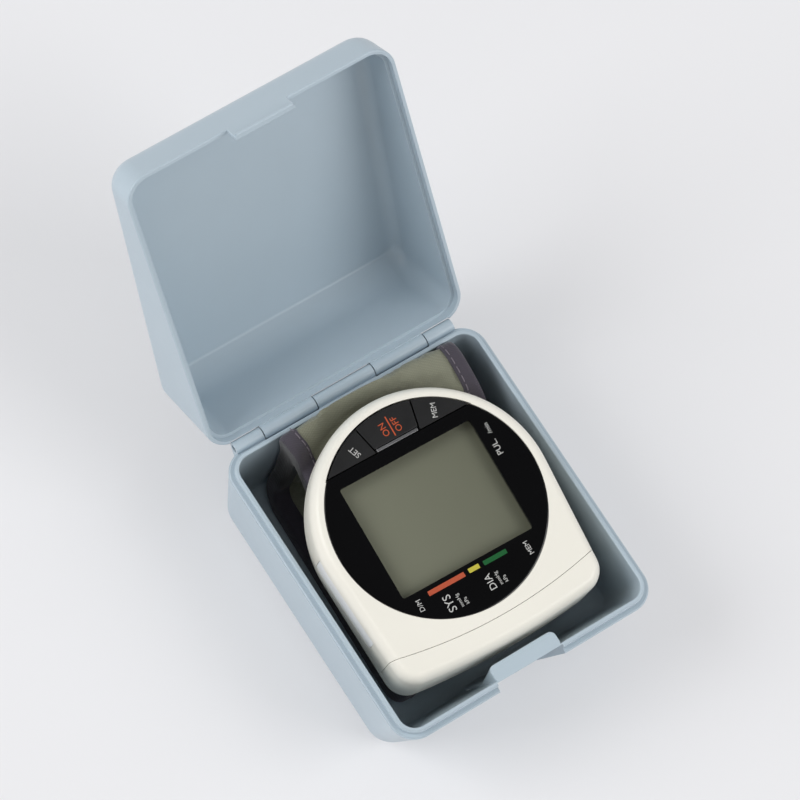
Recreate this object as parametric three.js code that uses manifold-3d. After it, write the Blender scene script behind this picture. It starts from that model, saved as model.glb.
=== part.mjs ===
// Wrist blood pressure monitor, stowed on its cuff in an open hinged storage case.
// Millimetres, +Z up. The origin is the centre of the case's flat underside. X runs along the hinge,
// Y runs from the latch at the front to the hinge at the rear.

import * as THREE from 'three';
import { mergeVertices } from 'three/addons/utils/BufferGeometryUtils.js';
import Module from 'manifold-3d';

const wasm = await Module();
wasm.setup();

const degree = Math.PI / 180;
const quarter = Math.PI / 2;

// Fits and mesh fineness shared by every piece
const fit = { gap: 0.3, overrun: 3, weld: 0.0005 };
const fine = { corner: 5, edge: 4, head: 30, front: 5, round: 28, small: 14, arc: 12, wire: 3, turn: 8 };

// Storage case: rooms are from the monitor to the walls inside, measured at the lip
const base = {
  sideRoom: 4,
  endRoom: 6.3,
  floor: 2.4,
  ledge: 1.4,
  lip: 1.2,
  lipHeight: 2,
  corner: 7,
  bottomEdge: 6,
  sideDraft: 1.5,
  rearDraft: 1,
  frontRake: 10,
};

// Lid: a wedge, shallow at the front and deep at the hinge; heights are above the ledge
const lid = {
  frontHeight: 13.5,
  rearHeight: 32,
  wall: 2,
  topEdge: 6,
  draft: 1.2,
  rimGap: 0.25,
  lipClearance: 0.3,
  openAngle: 125,
};

// Hinge: two barrels on the lid between three on the base, on one steel pin
const hinge = {
  behind: 1.2,
  below: 0.35,
  barrel: 1.9,
  pin: 0.8,
  lidBarrel: 15.9,
  lidBarrelSpacing: 34,
  endInset: 5.5,
  web: 5,
  clearance: 0.35,
};

// Latch: the lid's pull tab drops into a recess in the base's front wall and passes a small ridge there
const latch = {
  tabWidth: 17.5,
  tabDrop: 4.3,
  tabThickness: 1.3,
  thumbBead: 0.5,
  sideRoom: 1.25,
  recessHeight: 9,
  ridgeRoom: 0.5,
  blockDepth: 4.7,
  blockHeight: 14,
  ridge: 0.5,
  ridgeDrop: 3.2,
  ridgeWidth: 8,
};

// How the monitor lies in the case: the centre of its face above the lip, its tilt and its turn
const stow = { faceRise: 8.3, tilt: 6.3, turn: -1.5 };

// Monitor housing, in its own frame: u across, v towards the round end, w up from the face
const housing = {
  rim: 3.55,
  chin: 9.75,
  taper: 1.9,
  cornerRadius: 9,
  frontCrown: 220,
  backLean: 7.15,
  wall: 1.8,
  skin: 1.8,
  topEdgeIn: 2.6,
  topEdgeDown: 4.5,
  backEdge: 3.4,
  partingRise: 5,
  partingGap: 0.3,
};

// Battery cover: the front end of the upper housing, split off along a curved seam
const cover = {
  seamMargin: 3.15,
  seamBow: 3.5,
  seamGap: 0.3,
  nubRadius: 0.9,
  nubHeight: 2.6,
  nubInset: 0.2,
  nubBehindSeam: 1.2,
};

// Round face plate, its window and the parts of the display under it
const face = {
  margin: 3.83,
  thickness: 1,
  clearance: 0.15,
  seat: 1.6,
  seatLap: 1.35,
  windowWidth: 38.3,
  windowHeight: 32.2,
  windowShift: -0.3,
  paneLap: 1.05,
  paneThickness: 1.2,
  lcdLap: 2.1,
  lcdThickness: 1.6,
  holderWall: 1.6,
  holderFloor: 0.9,
  keyMargin: 3.7,
};

// Keys: a segment of the face behind the chord, split in three by two slightly fanned gaps
const keys = {
  proud: 0.25,
  capThickness: 2.85,
  gap: 0.3,
  split: 0.4,
  splitAtChord: 6.4,
  splitAtRim: 8.5,
  travel: 0.6,
  barDepth: 0.8,
  barLength: 12.2,
};

// Electronics and pump
const board = { thickness: 1.6, inset: 6.9, pumpRoom: 2.1, rear: 25 };
const pump = {
  radius: 4.7,
  motorLength: 17,
  headLength: 9,
  headRadius: 4.9,
  sideRoom: 5.75,
  wallRoom: 1,
  topRoom: 0.6,
};
const nozzle = { radius: 1, length: 2.4 };
const valve = { radius: 2.8, length: 8.6, sideRoom: 5.95, back: 9.5 };
const sensor = { width: 7, depth: 6, height: 2.6, buzzerRoom: 2.6, back: 13.5 };
const buzzer = { radius: 4.4, thickness: 1.8, sideRoom: 6.35, back: 12 };
const port = { right: 4.5, behindPump: 9, radius: 1.5, flange: 2.8, flangeThickness: 1, barb: 3.4 };
const hose = { radius: 1.8, bore: 1.3 };
const boss = { radius: 2.9, back: 8, pilot: 1.35 };
const screw = { shaft: 1, head: 1.8, headHeight: 1.1, bite: 5, sink: 0.3 };

// Two AAA cells side by side across the front end, with their walls and contacts
const cell = { radius: 5.25, length: 44.5, nub: 0.8, nubRadius: 1.9, clearance: 0.35, sideRoom: 2.8 };
const contact = { thickness: 0.4, spring: 2.9, wire: 0.25, springRadius: 2.7, springTip: 1.3, turns: 3 };
const bay = { wall: 1.2, topRoom: 2.4 };

// Bare label strip let into the housing's left side
const label = { front: 22, rear: 3, top: 5.2, bottom: 11.4, thickness: 0.3, depth: 0.6 };

// Cuff: a padded band closed to a loop whose axis runs along X
const cuff = {
  width: 53,
  shift: 5.2,
  lean: 0.22,
  sideRoom: 3,
  frontHeight: 14.3,
  frontClearance: 1.9,
  rearClearance: 1.1,
  topRearRadius: 6,
  lowRearRadius: 9,
  frontRadius: 6.8,
  cover: 0.8,
  bladder: 1.2,
  tape: 0.6,
  tapeWidth: 4.4,
  hookLength: 28,
  stiffenerShort: 3,
};

// Sizes that follow from the ones above, from the window outwards
const faceRadius = Math.hypot(face.windowWidth, face.windowHeight) / 2 + face.margin;
const contactFace = (cell.length + contact.spring + fit.gap) / 2;
const bayEnd = contactFace + contact.thickness + fit.gap;
const bayReach = bayEnd + bay.wall + cell.sideRoom + housing.wall + housing.taper;
const headRadius = Math.max(faceRadius + housing.rim, bayReach);
const frontReach = faceRadius + housing.chin;
const frontHalfWidth = headRadius - housing.taper;
const keyChord = face.windowHeight / 2 + face.windowShift + face.keyMargin;
const holderSide = face.windowWidth / 2 + face.lcdLap + fit.gap + face.holderWall;
const bossRight = holderSide + Math.abs(face.windowShift) + fit.gap + boss.radius;
const innerSide = bossRight - boss.radius;
const pumpStart = -(innerSide - pump.sideRoom);
const valveEnd = innerSide - valve.sideRoom;
const buzzerRight = -(innerSide - buzzer.sideRoom - buzzer.radius);
const sensorRight = buzzerRight + buzzer.radius + sensor.buzzerRoom + sensor.width / 2;

const caseWall = base.ledge + base.lip;
const cuffReach = cuff.width / 2 + Math.abs(cuff.shift) + cuff.sideRoom;
const caseWidth = 2 * (Math.max(headRadius + base.sideRoom, cuffReach) + caseWall);
const caseDepth = headRadius + frontReach + 2 * (base.endRoom + caseWall);
const faceBack = caseDepth / 2 - caseWall - base.endRoom - headRadius;

// Cells: each lies across the housing on the sloping floor, the front one against the front wall
const cellPitch = 2 * cell.radius + cell.clearance;
const crownSag = housing.frontCrown - Math.sqrt(housing.frontCrown ** 2 - (cell.length / 2) ** 2);
const frontCellBack = -frontReach + housing.wall + crownSag + cell.clearance + cell.radius;
const cellBacks = [frontCellBack, frontCellBack + cellPitch];
const bayRear = cellBacks[1] + cell.radius + cell.clearance;
const bossFront = bayRear + bay.wall + fit.gap + boss.radius;
const pumpBack = bayRear + bay.wall + pump.wallRoom + pump.headRadius;
const portBack = pumpBack + port.behindPump;
const boardFront = pumpBack + pump.headRadius + board.pumpRoom;

// The display stack goes down from the face, and the back lies where the pump fits under it
const tilt = stow.tilt * degree;
const backLean = housing.backLean * degree;
const backSlope = Math.tan(backLean);
const seatTop = -(face.thickness + fit.gap);
const seatBottom = seatTop - face.seat;
const lcdTop = seatBottom - fit.gap;
const holderBottom = lcdTop - face.lcdThickness - fit.gap - face.holderFloor;
const boardTop = holderBottom - fit.gap;
const boardBottom = boardTop - board.thickness;
const pumpHeight = holderBottom - pump.topRoom - pump.headRadius;
const pumpFloor = pumpHeight - (pump.headRadius + fit.gap + housing.wall) / Math.cos(backLean);

// Height of the housing's sloping back at a place v, raised by an amount square to the back
const backAt = (v, lift = 0) => pumpFloor + (v - pumpBack) * backSlope + lift / Math.cos(backLean);
const deepest = 2 * backAt(-frontReach);
const cellHeight = (back) => backAt(back, housing.wall + cell.clearance + cell.radius);

// The cuff's loop, seen along X from the face's centre, upright like the case
const toStow = (v, w) => [v * Math.cos(tilt) - w * Math.sin(tilt), v * Math.sin(tilt) + w * Math.cos(tilt)];

const loopPlan = (() => {
  const nearPoint = toStow(-frontReach, backAt(-frontReach, -fit.gap));
  const farPoint = toStow(headRadius, backAt(headRadius, -fit.gap));
  const slope = (farPoint[1] - nearPoint[1]) / (farPoint[0] - nearPoint[0]);
  const topAt = (y) => nearPoint[1] + slope * (y - nearPoint[0]);
  const rear = caseDepth / 2 - base.rearDraft - caseWall - cuff.rearClearance - faceBack;
  const front = -caseDepth / 2 + base.frontRake + caseWall + cuff.frontClearance - faceBack;
  const bottom = topAt(front) - cuff.frontHeight;
  return {
    rear,
    front,
    bottom,
    topAt,
    corners: [[front, bottom], [rear, bottom], [rear, topAt(rear)], [front, topAt(front)]],
    radii: [cuff.frontRadius, cuff.lowRearRadius, cuff.topRearRadius, cuff.frontRadius],
  };
})();

// The case is as deep as the loop needs, and the hinge sits behind its ledge
const faceZ = base.floor + fit.gap - loopPlan.bottom;
const lipTop = faceZ - stow.faceRise;
const ledgeZ = lipTop - base.lipHeight;
const hingeSpan = caseWidth - 2 * hinge.endInset;
const hingeY = caseDepth / 2 + hinge.behind;
const hingeZ = ledgeZ - hinge.below;

// Materials
const colour = (hex, roughness, metalness = 0) => ({ color: hex, roughness, metalness });
const finishes = {
  caseBlue: colour(0xb3c4d1, 0.32),
  steel: colour(0xb9bcc0, 0.3, 1),
  cream: colour(0xefece0, 0.38),
  glossBlack: colour(0x0b0b0c, 0.08),
  window: colour(0x20221c, 0.06),
  lcd: colour(0x6d6f60, 0.35),
  darkPlastic: colour(0x34363a, 0.5),
  keyGrey: colour(0x2b2b2d, 0.42),
  silver: colour(0x9a9b9d, 0.3, 0.8),
  rubber: colour(0x3c3d40, 0.8),
  greenBoard: colour(0x1f5b34, 0.45),
  white: colour(0xdddcd6, 0.5),
  cell: colour(0x6d7076, 0.35, 0.4),
  spring: colour(0xc9b98a, 0.3, 1),
  label: colour(0x9c9d9e, 0.5),
  fabric: colour(0x76765f, 0.95),
  lining: colour(0x4a4850, 0.95),
  tape: colour(0x453f4a, 0.9),
};

// Mesh and solid helpers
function solidFrom(geometry) {
  const bare = geometry.clone();
  bare.deleteAttribute('normal');
  bare.deleteAttribute('uv');
  const merged = mergeVertices(bare, fit.weld);
  return new wasm.Manifold(new wasm.Mesh({
    numProp: 3,
    vertProperties: new Float32Array(merged.attributes.position.array),
    triVerts: new Uint32Array(merged.index.array),
  }));
}

function geometryFrom(solid) {
  const mesh = solid.getMesh();
  const geometry = new THREE.BufferGeometry();
  geometry.setAttribute('position', new THREE.BufferAttribute(new Float32Array(mesh.vertProperties), 3));
  geometry.setIndex(new THREE.BufferAttribute(new Uint32Array(mesh.triVerts), 1));
  geometry.computeVertexNormals();
  return geometry;
}

// Skins a stack of outlines, lowest first, each a counter-clockwise ring of [x, y, z]
function loft(rings) {
  const count = rings[0].length;
  const points = rings.flat();
  const index = [];
  for (let k = 0; k + 1 < rings.length; k += 1) {
    for (let i = 0; i < count; i += 1) {
      const a = k * count + i;
      const b = k * count + (i + 1) % count;
      index.push(a, b, b + count, a, b + count, a + count);
    }
  }
  const middle = (ring) => [0, 1, 2].map((axis) => ring.reduce((sum, p) => sum + p[axis], 0) / count);
  const bottom = points.length;
  points.push(middle(rings[0]), middle(rings.at(-1)));
  const last = (rings.length - 1) * count;
  for (let i = 0; i < count; i += 1) {
    const next = (i + 1) % count;
    index.push(bottom, next, i, bottom + 1, last + i, last + next);
  }
  const geometry = new THREE.BufferGeometry();
  geometry.setAttribute('position', new THREE.BufferAttribute(new Float32Array(points.flat()), 3));
  geometry.setIndex(index);
  return solidFrom(geometry);
}

// A body between a floor and a roof, with rounded edges where they meet its walls.
// outline(inset, z) gives the ring of [x, y]; floorAt and roofAt give heights at a place.
function form({ outline, inset = 0, floorAt, roofAt, floorEdge = [0, 0], roofEdge = [0, 0] }) {
  const rings = [];
  const add = (inward, rise, at) => {
    const middleZ = at(0, 0) + rise;
    rings.push(outline(inset + inward, middleZ).map(([x, y]) => [x, y, at(x, y) + rise]));
  };
  const floorSteps = floorEdge[0] > 0 ? fine.edge : 0;
  for (let k = 0; k <= floorSteps; k += 1) {
    const angle = floorSteps ? (k / floorSteps) * quarter : quarter;
    add(floorEdge[0] * (1 - Math.sin(angle)), floorEdge[1] * (1 - Math.cos(angle)), floorAt);
  }
  const roofSteps = roofEdge[0] > 0 ? fine.edge : 0;
  for (let k = 0; k <= roofSteps; k += 1) {
    const angle = roofSteps ? (k / roofSteps) * quarter : 0;
    const drop = roofSteps ? roofEdge[1] * (1 - Math.sin(angle)) : 0;
    add(roofEdge[0] * (1 - Math.cos(angle)), -drop, roofAt);
  }
  return loft(rings);
}

const arcPoints = (cx, cy, radius, from, to, steps) => Array.from({ length: steps + 1 }, (_, k) => {
  const angle = from + (to - from) * (k / steps);
  return [cx + radius * Math.cos(angle), cy + radius * Math.sin(angle)];
});

function roundedRectangle(left, right, front, rear, radius) {
  return [
    ...arcPoints(right - radius, rear - radius, radius, 0, quarter, fine.corner),
    ...arcPoints(left + radius, rear - radius, radius, quarter, 2 * quarter, fine.corner),
    ...arcPoints(left + radius, front + radius, radius, 2 * quarter, 3 * quarter, fine.corner),
    ...arcPoints(right - radius, front + radius, radius, 3 * quarter, 4 * quarter, fine.corner),
  ];
}

const shapeOf = (points) => new THREE.Shape(points.map(([x, y]) => new THREE.Vector2(x, y)));

function prism(points, low, high, hole) {
  const shape = shapeOf(points);
  if (hole) shape.holes.push(shapeOf(hole));
  const geometry = new THREE.ExtrudeGeometry(shape, { depth: high - low, bevelEnabled: false });
  geometry.translate(0, 0, low);
  return solidFrom(geometry);
}

const block = (left, right, front, rear, low, high) => prism(
  [[left, front], [right, front], [right, rear], [left, rear]],
  low,
  high,
);

// Turns a solid drawn in a plane and drawn out along Z so that it is drawn out along X instead
const alongX = new THREE.Matrix4().makeBasis(
  new THREE.Vector3(0, 1, 0),
  new THREE.Vector3(0, 0, 1),
  new THREE.Vector3(1, 0, 0),
);

const moved = (solid, matrix) => solid.transform(matrix.elements);
const shifted = (solid, x, y, z) => solid.translate(x, y, z);
const sideways = (points, from, to, hole) => moved(prism(points, from, to, hole), alongX);

function rodX(radius, from, to, y, z, sides = fine.small) {
  const geometry = new THREE.CylinderGeometry(radius, radius, to - from, sides);
  geometry.rotateZ(quarter);
  geometry.translate((from + to) / 2, y, z);
  return solidFrom(geometry);
}

function rodZ(radius, low, high, x, y, sides = fine.small) {
  const geometry = new THREE.CylinderGeometry(radius, radius, high - low, sides);
  geometry.rotateX(quarter);
  geometry.translate(x, y, (low + high) / 2);
  return solidFrom(geometry);
}

function tube(points, radius, bore, steps) {
  const curve = new THREE.CatmullRomCurve3(points);
  const ring = new THREE.Shape().absarc(0, 0, radius, 0, 4 * quarter);
  if (bore) ring.holes.push(new THREE.Path().absarc(0, 0, bore, 0, 4 * quarter, true));
  const curveSegments = bore ? fine.corner : fine.wire;
  const options = { steps, extrudePath: curve, bevelEnabled: false, curveSegments };
  return new THREE.ExtrudeGeometry(ring, options);
}

const joined = (solids) => solids.reduce((sum, solid) => sum.add(solid));

// Storage case base
function caseOutline(inset, z) {
  const down = Math.max(0, 1 - z / ledgeZ);
  return roundedRectangle(
    -caseWidth / 2 + base.sideDraft * down + inset,
    caseWidth / 2 - base.sideDraft * down - inset,
    -caseDepth / 2 + base.frontRake * down + inset,
    caseDepth / 2 - base.rearDraft * down - inset,
    Math.max(base.corner - inset, base.corner - base.bottomEdge),
  );
}

const flatAt = (z) => () => z;

const lidBarrelRanges = [-1, 1].map((side) => {
  const middle = side * hinge.lidBarrelSpacing / 2;
  return [middle - hinge.lidBarrel / 2, middle + hinge.lidBarrel / 2];
});

const baseBarrelRanges = [
  [-hingeSpan / 2, lidBarrelRanges[0][0] - fit.gap],
  [lidBarrelRanges[0][1] + fit.gap, lidBarrelRanges[1][0] - fit.gap],
  [lidBarrelRanges[1][1] + fit.gap, hingeSpan / 2],
];

// A hinge barrel and the web that joins it to a wall; side 1 puts the web above the pin, side -1 below
function barrel([from, to], side) {
  const wallIn = hingeY - hinge.barrel;
  const points = [
    [wallIn, hingeZ],
    [wallIn, hingeZ + side * hinge.web],
    [caseDepth / 2, hingeZ + side * hinge.web],
    [hingeY + hinge.barrel, hingeZ],
    ...arcPoints(hingeY, hingeZ, hinge.barrel, 0, -side * 2 * quarter, fine.arc).slice(1),
  ];
  return sideways(side > 0 ? points.reverse() : points, from, to);
}

const barrelClearance = ([from, to]) => rodX(
  hinge.barrel + hinge.clearance,
  from - fit.gap,
  to + fit.gap,
  hingeY,
  hingeZ,
  fine.round,
);

const pinBore = () => rodX(hinge.pin + fit.gap, -hingeSpan, hingeSpan, hingeY, hingeZ);

const recessWidth = latch.tabWidth + 2 * latch.sideRoom;
const recessFace = -caseDepth / 2 + latch.tabThickness + latch.ridge + latch.ridgeRoom;

function makeCaseBase() {
  const shell = form({
    outline: caseOutline,
    floorAt: flatAt(0),
    roofAt: flatAt(ledgeZ),
    floorEdge: [base.bottomEdge, base.bottomEdge],
  });
  const lip = form({
    outline: caseOutline,
    inset: base.ledge,
    floorAt: flatAt(ledgeZ - base.lip),
    roofAt: flatAt(lipTop),
  });
  const cavity = form({
    outline: caseOutline,
    inset: caseWall,
    floorAt: flatAt(base.floor),
    roofAt: flatAt(lipTop + fit.overrun),
    floorEdge: [base.bottomEdge - caseWall, base.bottomEdge - caseWall],
  });
  const catchBlock = block(
    -recessWidth / 2,
    recessWidth / 2,
    -caseDepth / 2 + base.ledge,
    recessFace + latch.blockDepth,
    lipTop - latch.blockHeight,
    lipTop,
  );
  const recess = block(
    -recessWidth / 2,
    recessWidth / 2,
    -caseDepth,
    recessFace,
    lipTop - latch.recessHeight,
    lipTop + fit.overrun,
  );
  const ridgeEnd = latch.ridgeWidth / 2;
  const ridge = rodX(latch.ridge, -ridgeEnd, ridgeEnd, recessFace, ledgeZ - latch.ridgeDrop);
  let body = shell.add(lip).subtract(cavity).add(catchBlock).subtract(recess).add(ridge);
  body = body.subtract(joined(lidBarrelRanges.map(barrelClearance)));
  body = body.add(joined(baseBarrelRanges.map((range) => barrel(range, -1))));
  return body.subtract(pinBore());
}

// Lid, drawn closed on the base; the caller moves it to its pin
const lidTopAt = (lower) => (x, y) => {
  const share = y / caseDepth + 0.5;
  return ledgeZ + lid.frontHeight + (lid.rearHeight - lid.frontHeight) * share - lower;
};

function lidOutline(inset, z) {
  const up = Math.max(0, z - ledgeZ) / lidTopAt(0)(0, 0);
  const drawn = inset + lid.draft * up;
  return roundedRectangle(
    -caseWidth / 2 + drawn,
    caseWidth / 2 - drawn,
    -caseDepth / 2 + drawn,
    caseDepth / 2 - drawn,
    Math.max(base.corner - inset, base.corner - lid.topEdge),
  );
}

function makeCaseLid() {
  const rim = ledgeZ + lid.rimGap;
  const innerEdge = lid.topEdge - lid.wall;
  const shell = form({
    outline: lidOutline,
    floorAt: flatAt(rim),
    roofAt: lidTopAt(0),
    roofEdge: [lid.topEdge, lid.topEdge],
  });
  const cavity = form({
    outline: lidOutline,
    inset: lid.wall,
    floorAt: flatAt(rim - fit.overrun),
    roofAt: lidTopAt(lid.wall),
    roofEdge: [innerEdge, innerEdge],
  });
  const rebate = form({
    outline: lidOutline,
    inset: base.ledge - lid.lipClearance,
    floorAt: flatAt(rim - fit.overrun),
    roofAt: flatAt(lipTop + lid.lipClearance),
  });
  const tabFront = -caseDepth / 2;
  const tab = block(
    -latch.tabWidth / 2,
    latch.tabWidth / 2,
    tabFront,
    tabFront + latch.tabThickness,
    rim - latch.tabDrop,
    rim + latch.tabThickness,
  );
  const bead = rodX(
    latch.thumbBead,
    -latch.tabWidth / 2,
    latch.tabWidth / 2,
    tabFront,
    rim - latch.tabDrop + latch.thumbBead,
  );
  let body = shell.subtract(cavity).subtract(rebate).add(tab).add(bead);
  body = body.subtract(joined(baseBarrelRanges.map(barrelClearance)));
  body = body.add(joined(lidBarrelRanges.map((range) => barrel(range, 1))));
  return shifted(body.subtract(pinBore()), 0, -hingeY, -hingeZ);
}

// Monitor housing: a round head whose sides run in to a squarer front end
const corner = (() => {
  const right = frontHalfWidth - housing.cornerRadius;
  const crownBack = housing.frontCrown - frontReach;
  const reach = housing.frontCrown - housing.cornerRadius;
  const back = crownBack - Math.sqrt(reach * reach - right * right);
  const apart = Math.hypot(right, back);
  const sideAngle = Math.atan2(back, right) + Math.acos((headRadius - housing.cornerRadius) / apart);
  return { right, back, crownBack, sideAngle, frontAngle: Math.atan2(back - crownBack, right) };
})();

function housingOutline(inset) {
  const { right, back, crownBack, sideAngle, frontAngle } = corner;
  const half = 2 * quarter;
  const small = housing.cornerRadius - inset;
  return [
    ...arcPoints(0, 0, headRadius - inset, sideAngle, half - sideAngle, fine.head),
    ...arcPoints(-right, back, small, half - sideAngle, half - frontAngle, fine.corner).slice(0, -1),
    ...arcPoints(
      0,
      crownBack,
      housing.frontCrown - inset,
      half - frontAngle,
      2 * half + frontAngle,
      fine.front,
    ),
    ...arcPoints(right, back, small, frontAngle, sideAngle, fine.corner).slice(1),
  ];
}

function housingBody(inset, topDrop = inset) {
  const edge = Math.max(housing.backEdge - inset, housing.backEdge / 4);
  return form({
    outline: housingOutline,
    inset,
    floorAt: (x, y) => backAt(y, inset),
    roofAt: flatAt(-topDrop),
    floorEdge: [edge, edge],
    roofEdge: [housing.topEdgeIn, housing.topEdgeDown],
  });
}

// Everything above the parting plane, which runs along the back at a set height
function abovePlane(rise) {
  const reach = 2 * headRadius;
  const profile = [
    [-reach, backAt(-reach, rise)],
    [reach, backAt(reach, rise)],
    [reach, reach],
    [-reach, reach],
  ];
  return sideways(profile, -reach, reach);
}

// Everything in front of the battery cover's seam
const seamReach = faceRadius + cover.seamMargin;

function frontOfSeam(shift) {
  const reach = 2 * headRadius;
  const seam = Array.from({ length: 2 * fine.arc + 1 }, (_, k) => {
    const across = (k / fine.arc - 1) * (frontHalfWidth + 2 * fit.overrun);
    const bow = cover.seamBow * (across / frontHalfWidth) ** 2;
    return [across, -seamReach + bow + shift];
  });
  return prism([[seam[0][0], -reach], [seam.at(-1)[0], -reach], ...seam.reverse()], -reach, reach);
}

const keyAreaOutline = (grow) => {
  const radius = faceRadius + grow;
  const chord = keyChord - grow;
  const reach = Math.asin(chord / radius);
  return arcPoints(0, 0, radius, reach, 2 * quarter - reach, fine.head);
};

const windowBlock = (lap, low, high) => block(
  face.windowShift - face.windowWidth / 2 - lap,
  face.windowShift + face.windowWidth / 2 + lap,
  face.windowShift - face.windowHeight / 2 - lap,
  face.windowShift + face.windowHeight / 2 + lap,
  low,
  high,
);

const bossPlaces = [
  [-bossRight, boss.back],
  [bossRight, boss.back],
  [-bossRight, bossFront],
  [bossRight, bossFront],
];

const labelBlock = (grow) => block(
  -2 * headRadius,
  -headRadius / 2,
  -label.front - grow,
  label.rear + grow,
  -label.bottom - grow,
  -label.top + grow,
);

function makeHousingShells() {
  const outside = housingBody(0);
  const inside = housingBody(housing.wall, housing.skin);
  const seat = rodZ(faceRadius + face.seatLap, seatBottom, seatTop, 0, 0, 2 * fine.round).intersect(outside);
  const posts = joined(bossPlaces.map(([x, y]) => rodZ(boss.radius, deepest, seatTop, x, y)));
  const shell = outside.subtract(inside).add(seat).add(posts.intersect(outside));
  const parting = housing.partingRise;

  let upper = shell.intersect(abovePlane(parting + housing.partingGap / 2));
  upper = upper.subtract(rodZ(faceRadius + face.clearance, seatTop, fit.overrun, 0, 0, 2 * fine.round));
  upper = upper.subtract(windowBlock(face.paneLap + fit.gap, 2 * seatBottom, 0));
  upper = upper.subtract(prism(keyAreaOutline(keys.gap), 2 * seatBottom, 0));
  upper = upper.subtract(labelBlock(fit.gap / 2).subtract(housingBody(label.depth)));

  const frontHousing = upper.subtract(frontOfSeam(cover.seamGap / 2));
  const nubPlaces = [-1, 1].map((side) => {
    const across = side * (frontHalfWidth - cover.nubInset);
    const low = backAt(corner.back, parting + fit.gap);
    return rodZ(cover.nubRadius, low, low + cover.nubHeight, across, corner.back - cover.nubBehindSeam);
  });
  const batteryCover = upper.intersect(frontOfSeam(-cover.seamGap / 2)).add(joined(nubPlaces));

  const below = outside.subtract(abovePlane(parting - housing.partingGap / 2));
  const rearHousing = shell.intersect(below);
  return { frontHousing, batteryCover, rearHousing };
}

// Battery bay: its walls stand on the rear housing and reach up inside the front one
function bayWalls() {
  const end = bayEnd + bay.wall;
  const front = -frontReach + housing.wall + fit.gap;
  const rear = bayRear + bay.wall;
  const top = holderBottom - bay.topRoom;
  const plan = joined([
    block(-end, end, bayRear, rear, deepest, top),
    block(bayEnd, end, front, rear, deepest, top),
    block(-end, -bayEnd, front, rear, deepest, top),
  ]);
  const below = housingBody(housing.wall / 2).subtract(abovePlane(housing.partingRise - fit.gap));
  return plan.intersect(below).add(plan.intersect(housingBody(housing.wall + fit.gap)));
}

function makeScrew([x, y]) {
  const seatZ = backAt(y) + screw.sink;
  const head = rodZ(screw.head, seatZ, seatZ + screw.headHeight, x, y);
  const tip = backAt(y, housing.partingRise) + screw.bite;
  return head.add(rodZ(screw.shaft, seatZ + screw.headHeight / 2, tip, x, y));
}

function screwHoles() {
  return joined(bossPlaces.map(([x, y]) => {
    const seatZ = backAt(y) + screw.sink + screw.headHeight;
    const bore = rodZ(boss.pilot, deepest, backAt(y, housing.partingRise) + screw.bite + fit.gap, x, y);
    const sink = rodZ(screw.head + fit.gap, deepest, seatZ + fit.gap, x, y);
    return bore.add(sink);
  }));
}

// Air port: a flanged spout through the housing's back into the cuff, with a barb for the hose
const portHole = () => rodZ(
  port.radius + fit.gap,
  deepest,
  backAt(portBack, 2 * housing.wall),
  port.right,
  portBack,
);

// Keys
function makeKeys() {
  const top = keys.proud;
  const low = top - keys.capThickness;
  const segment = prism(keyAreaOutline(-keys.gap / 2), low, top);
  const barBack = keyChord + keys.gap + keys.barDepth;
  const far = 2 * faceRadius;
  const slope = (keys.splitAtRim - keys.splitAtChord) / (faceRadius - keyChord);
  const splitAt = (v) => keys.splitAtChord + slope * (v - keyChord);
  const side = (sign, shift) => {
    const near = [sign * (splitAt(0) + shift), 0];
    const away = [sign * (splitAt(far) + shift), far];
    const points = [near, away, [sign * far * 2, far], [sign * far * 2, 0]];
    return prism(sign > 0 ? points.reverse() : points, -far, far);
  };
  const half = keys.split / 2;
  const middle = segment.subtract(side(1, -half)).subtract(side(-1, -half));
  const barArea = block(-far, far, 0, barBack, -far, far);
  const bar = block(
    -keys.barLength / 2,
    keys.barLength / 2,
    keyChord + keys.gap / 2,
    barBack - fit.gap,
    low,
    top,
  );
  return {
    set: segment.intersect(side(-1, half)),
    onOff: middle.subtract(barArea),
    mem: segment.intersect(side(1, half)),
    bar,
  };
}

// Display stack under the face plate
function makeFacePlate() {
  const disc = rodZ(faceRadius, -face.thickness, 0, 0, 0, 2 * fine.round);
  const keyHole = prism(keyAreaOutline(keys.gap / 2), -fit.overrun, fit.overrun);
  return disc.subtract(windowBlock(0, -fit.overrun, fit.overrun)).subtract(keyHole);
}

const makePane = () => windowBlock(face.paneLap, seatTop - face.paneThickness, seatTop);
const makeLcd = () => windowBlock(face.lcdLap, lcdTop - face.lcdThickness, lcdTop);

function makeHolder() {
  const tray = windowBlock(face.lcdLap + fit.gap + face.holderWall, holderBottom, lcdTop);
  const trimmed = tray.intersect(housingBody(housing.wall + fit.gap));
  return trimmed.subtract(windowBlock(face.lcdLap + fit.gap, holderBottom + face.holderFloor, 0));
}

const boardRadius = headRadius - board.inset;

function makeBoard() {
  const disc = rodZ(boardRadius, boardBottom, boardTop, 0, 0, fine.round);
  const behind = block(-boardRadius, boardRadius, boardFront, board.rear, deepest, 0);
  const notches = bossPlaces.map(([x, y]) => rodZ(boss.radius + fit.gap, deepest, 0, x, y));
  return disc.intersect(behind).subtract(joined(notches));
}

function makeKeyMat() {
  const front = face.windowShift + face.windowHeight / 2 + face.lcdLap + fit.gap + face.holderWall + fit.gap;
  const low = boardTop + fit.gap;
  const top = keys.proud - keys.capThickness - keys.travel - fit.gap;
  const pad = rodZ(boardRadius, low, top, 0, 0, fine.round);
  return pad.intersect(block(-boardRadius, boardRadius, front, board.rear, deepest, 0));
}

// Pump, valve, sensor, buzzer, hose
const headStart = pumpStart + pump.motorLength + fit.gap;
const headEnd = headStart + pump.headLength;

function makePumpHead() {
  const drum = rodX(pump.headRadius, headStart, headEnd, pumpBack, pumpHeight);
  const spout = rodX(nozzle.radius, headEnd - nozzle.radius, headEnd + nozzle.length, pumpBack, pumpHeight);
  return drum.add(spout);
}

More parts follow.
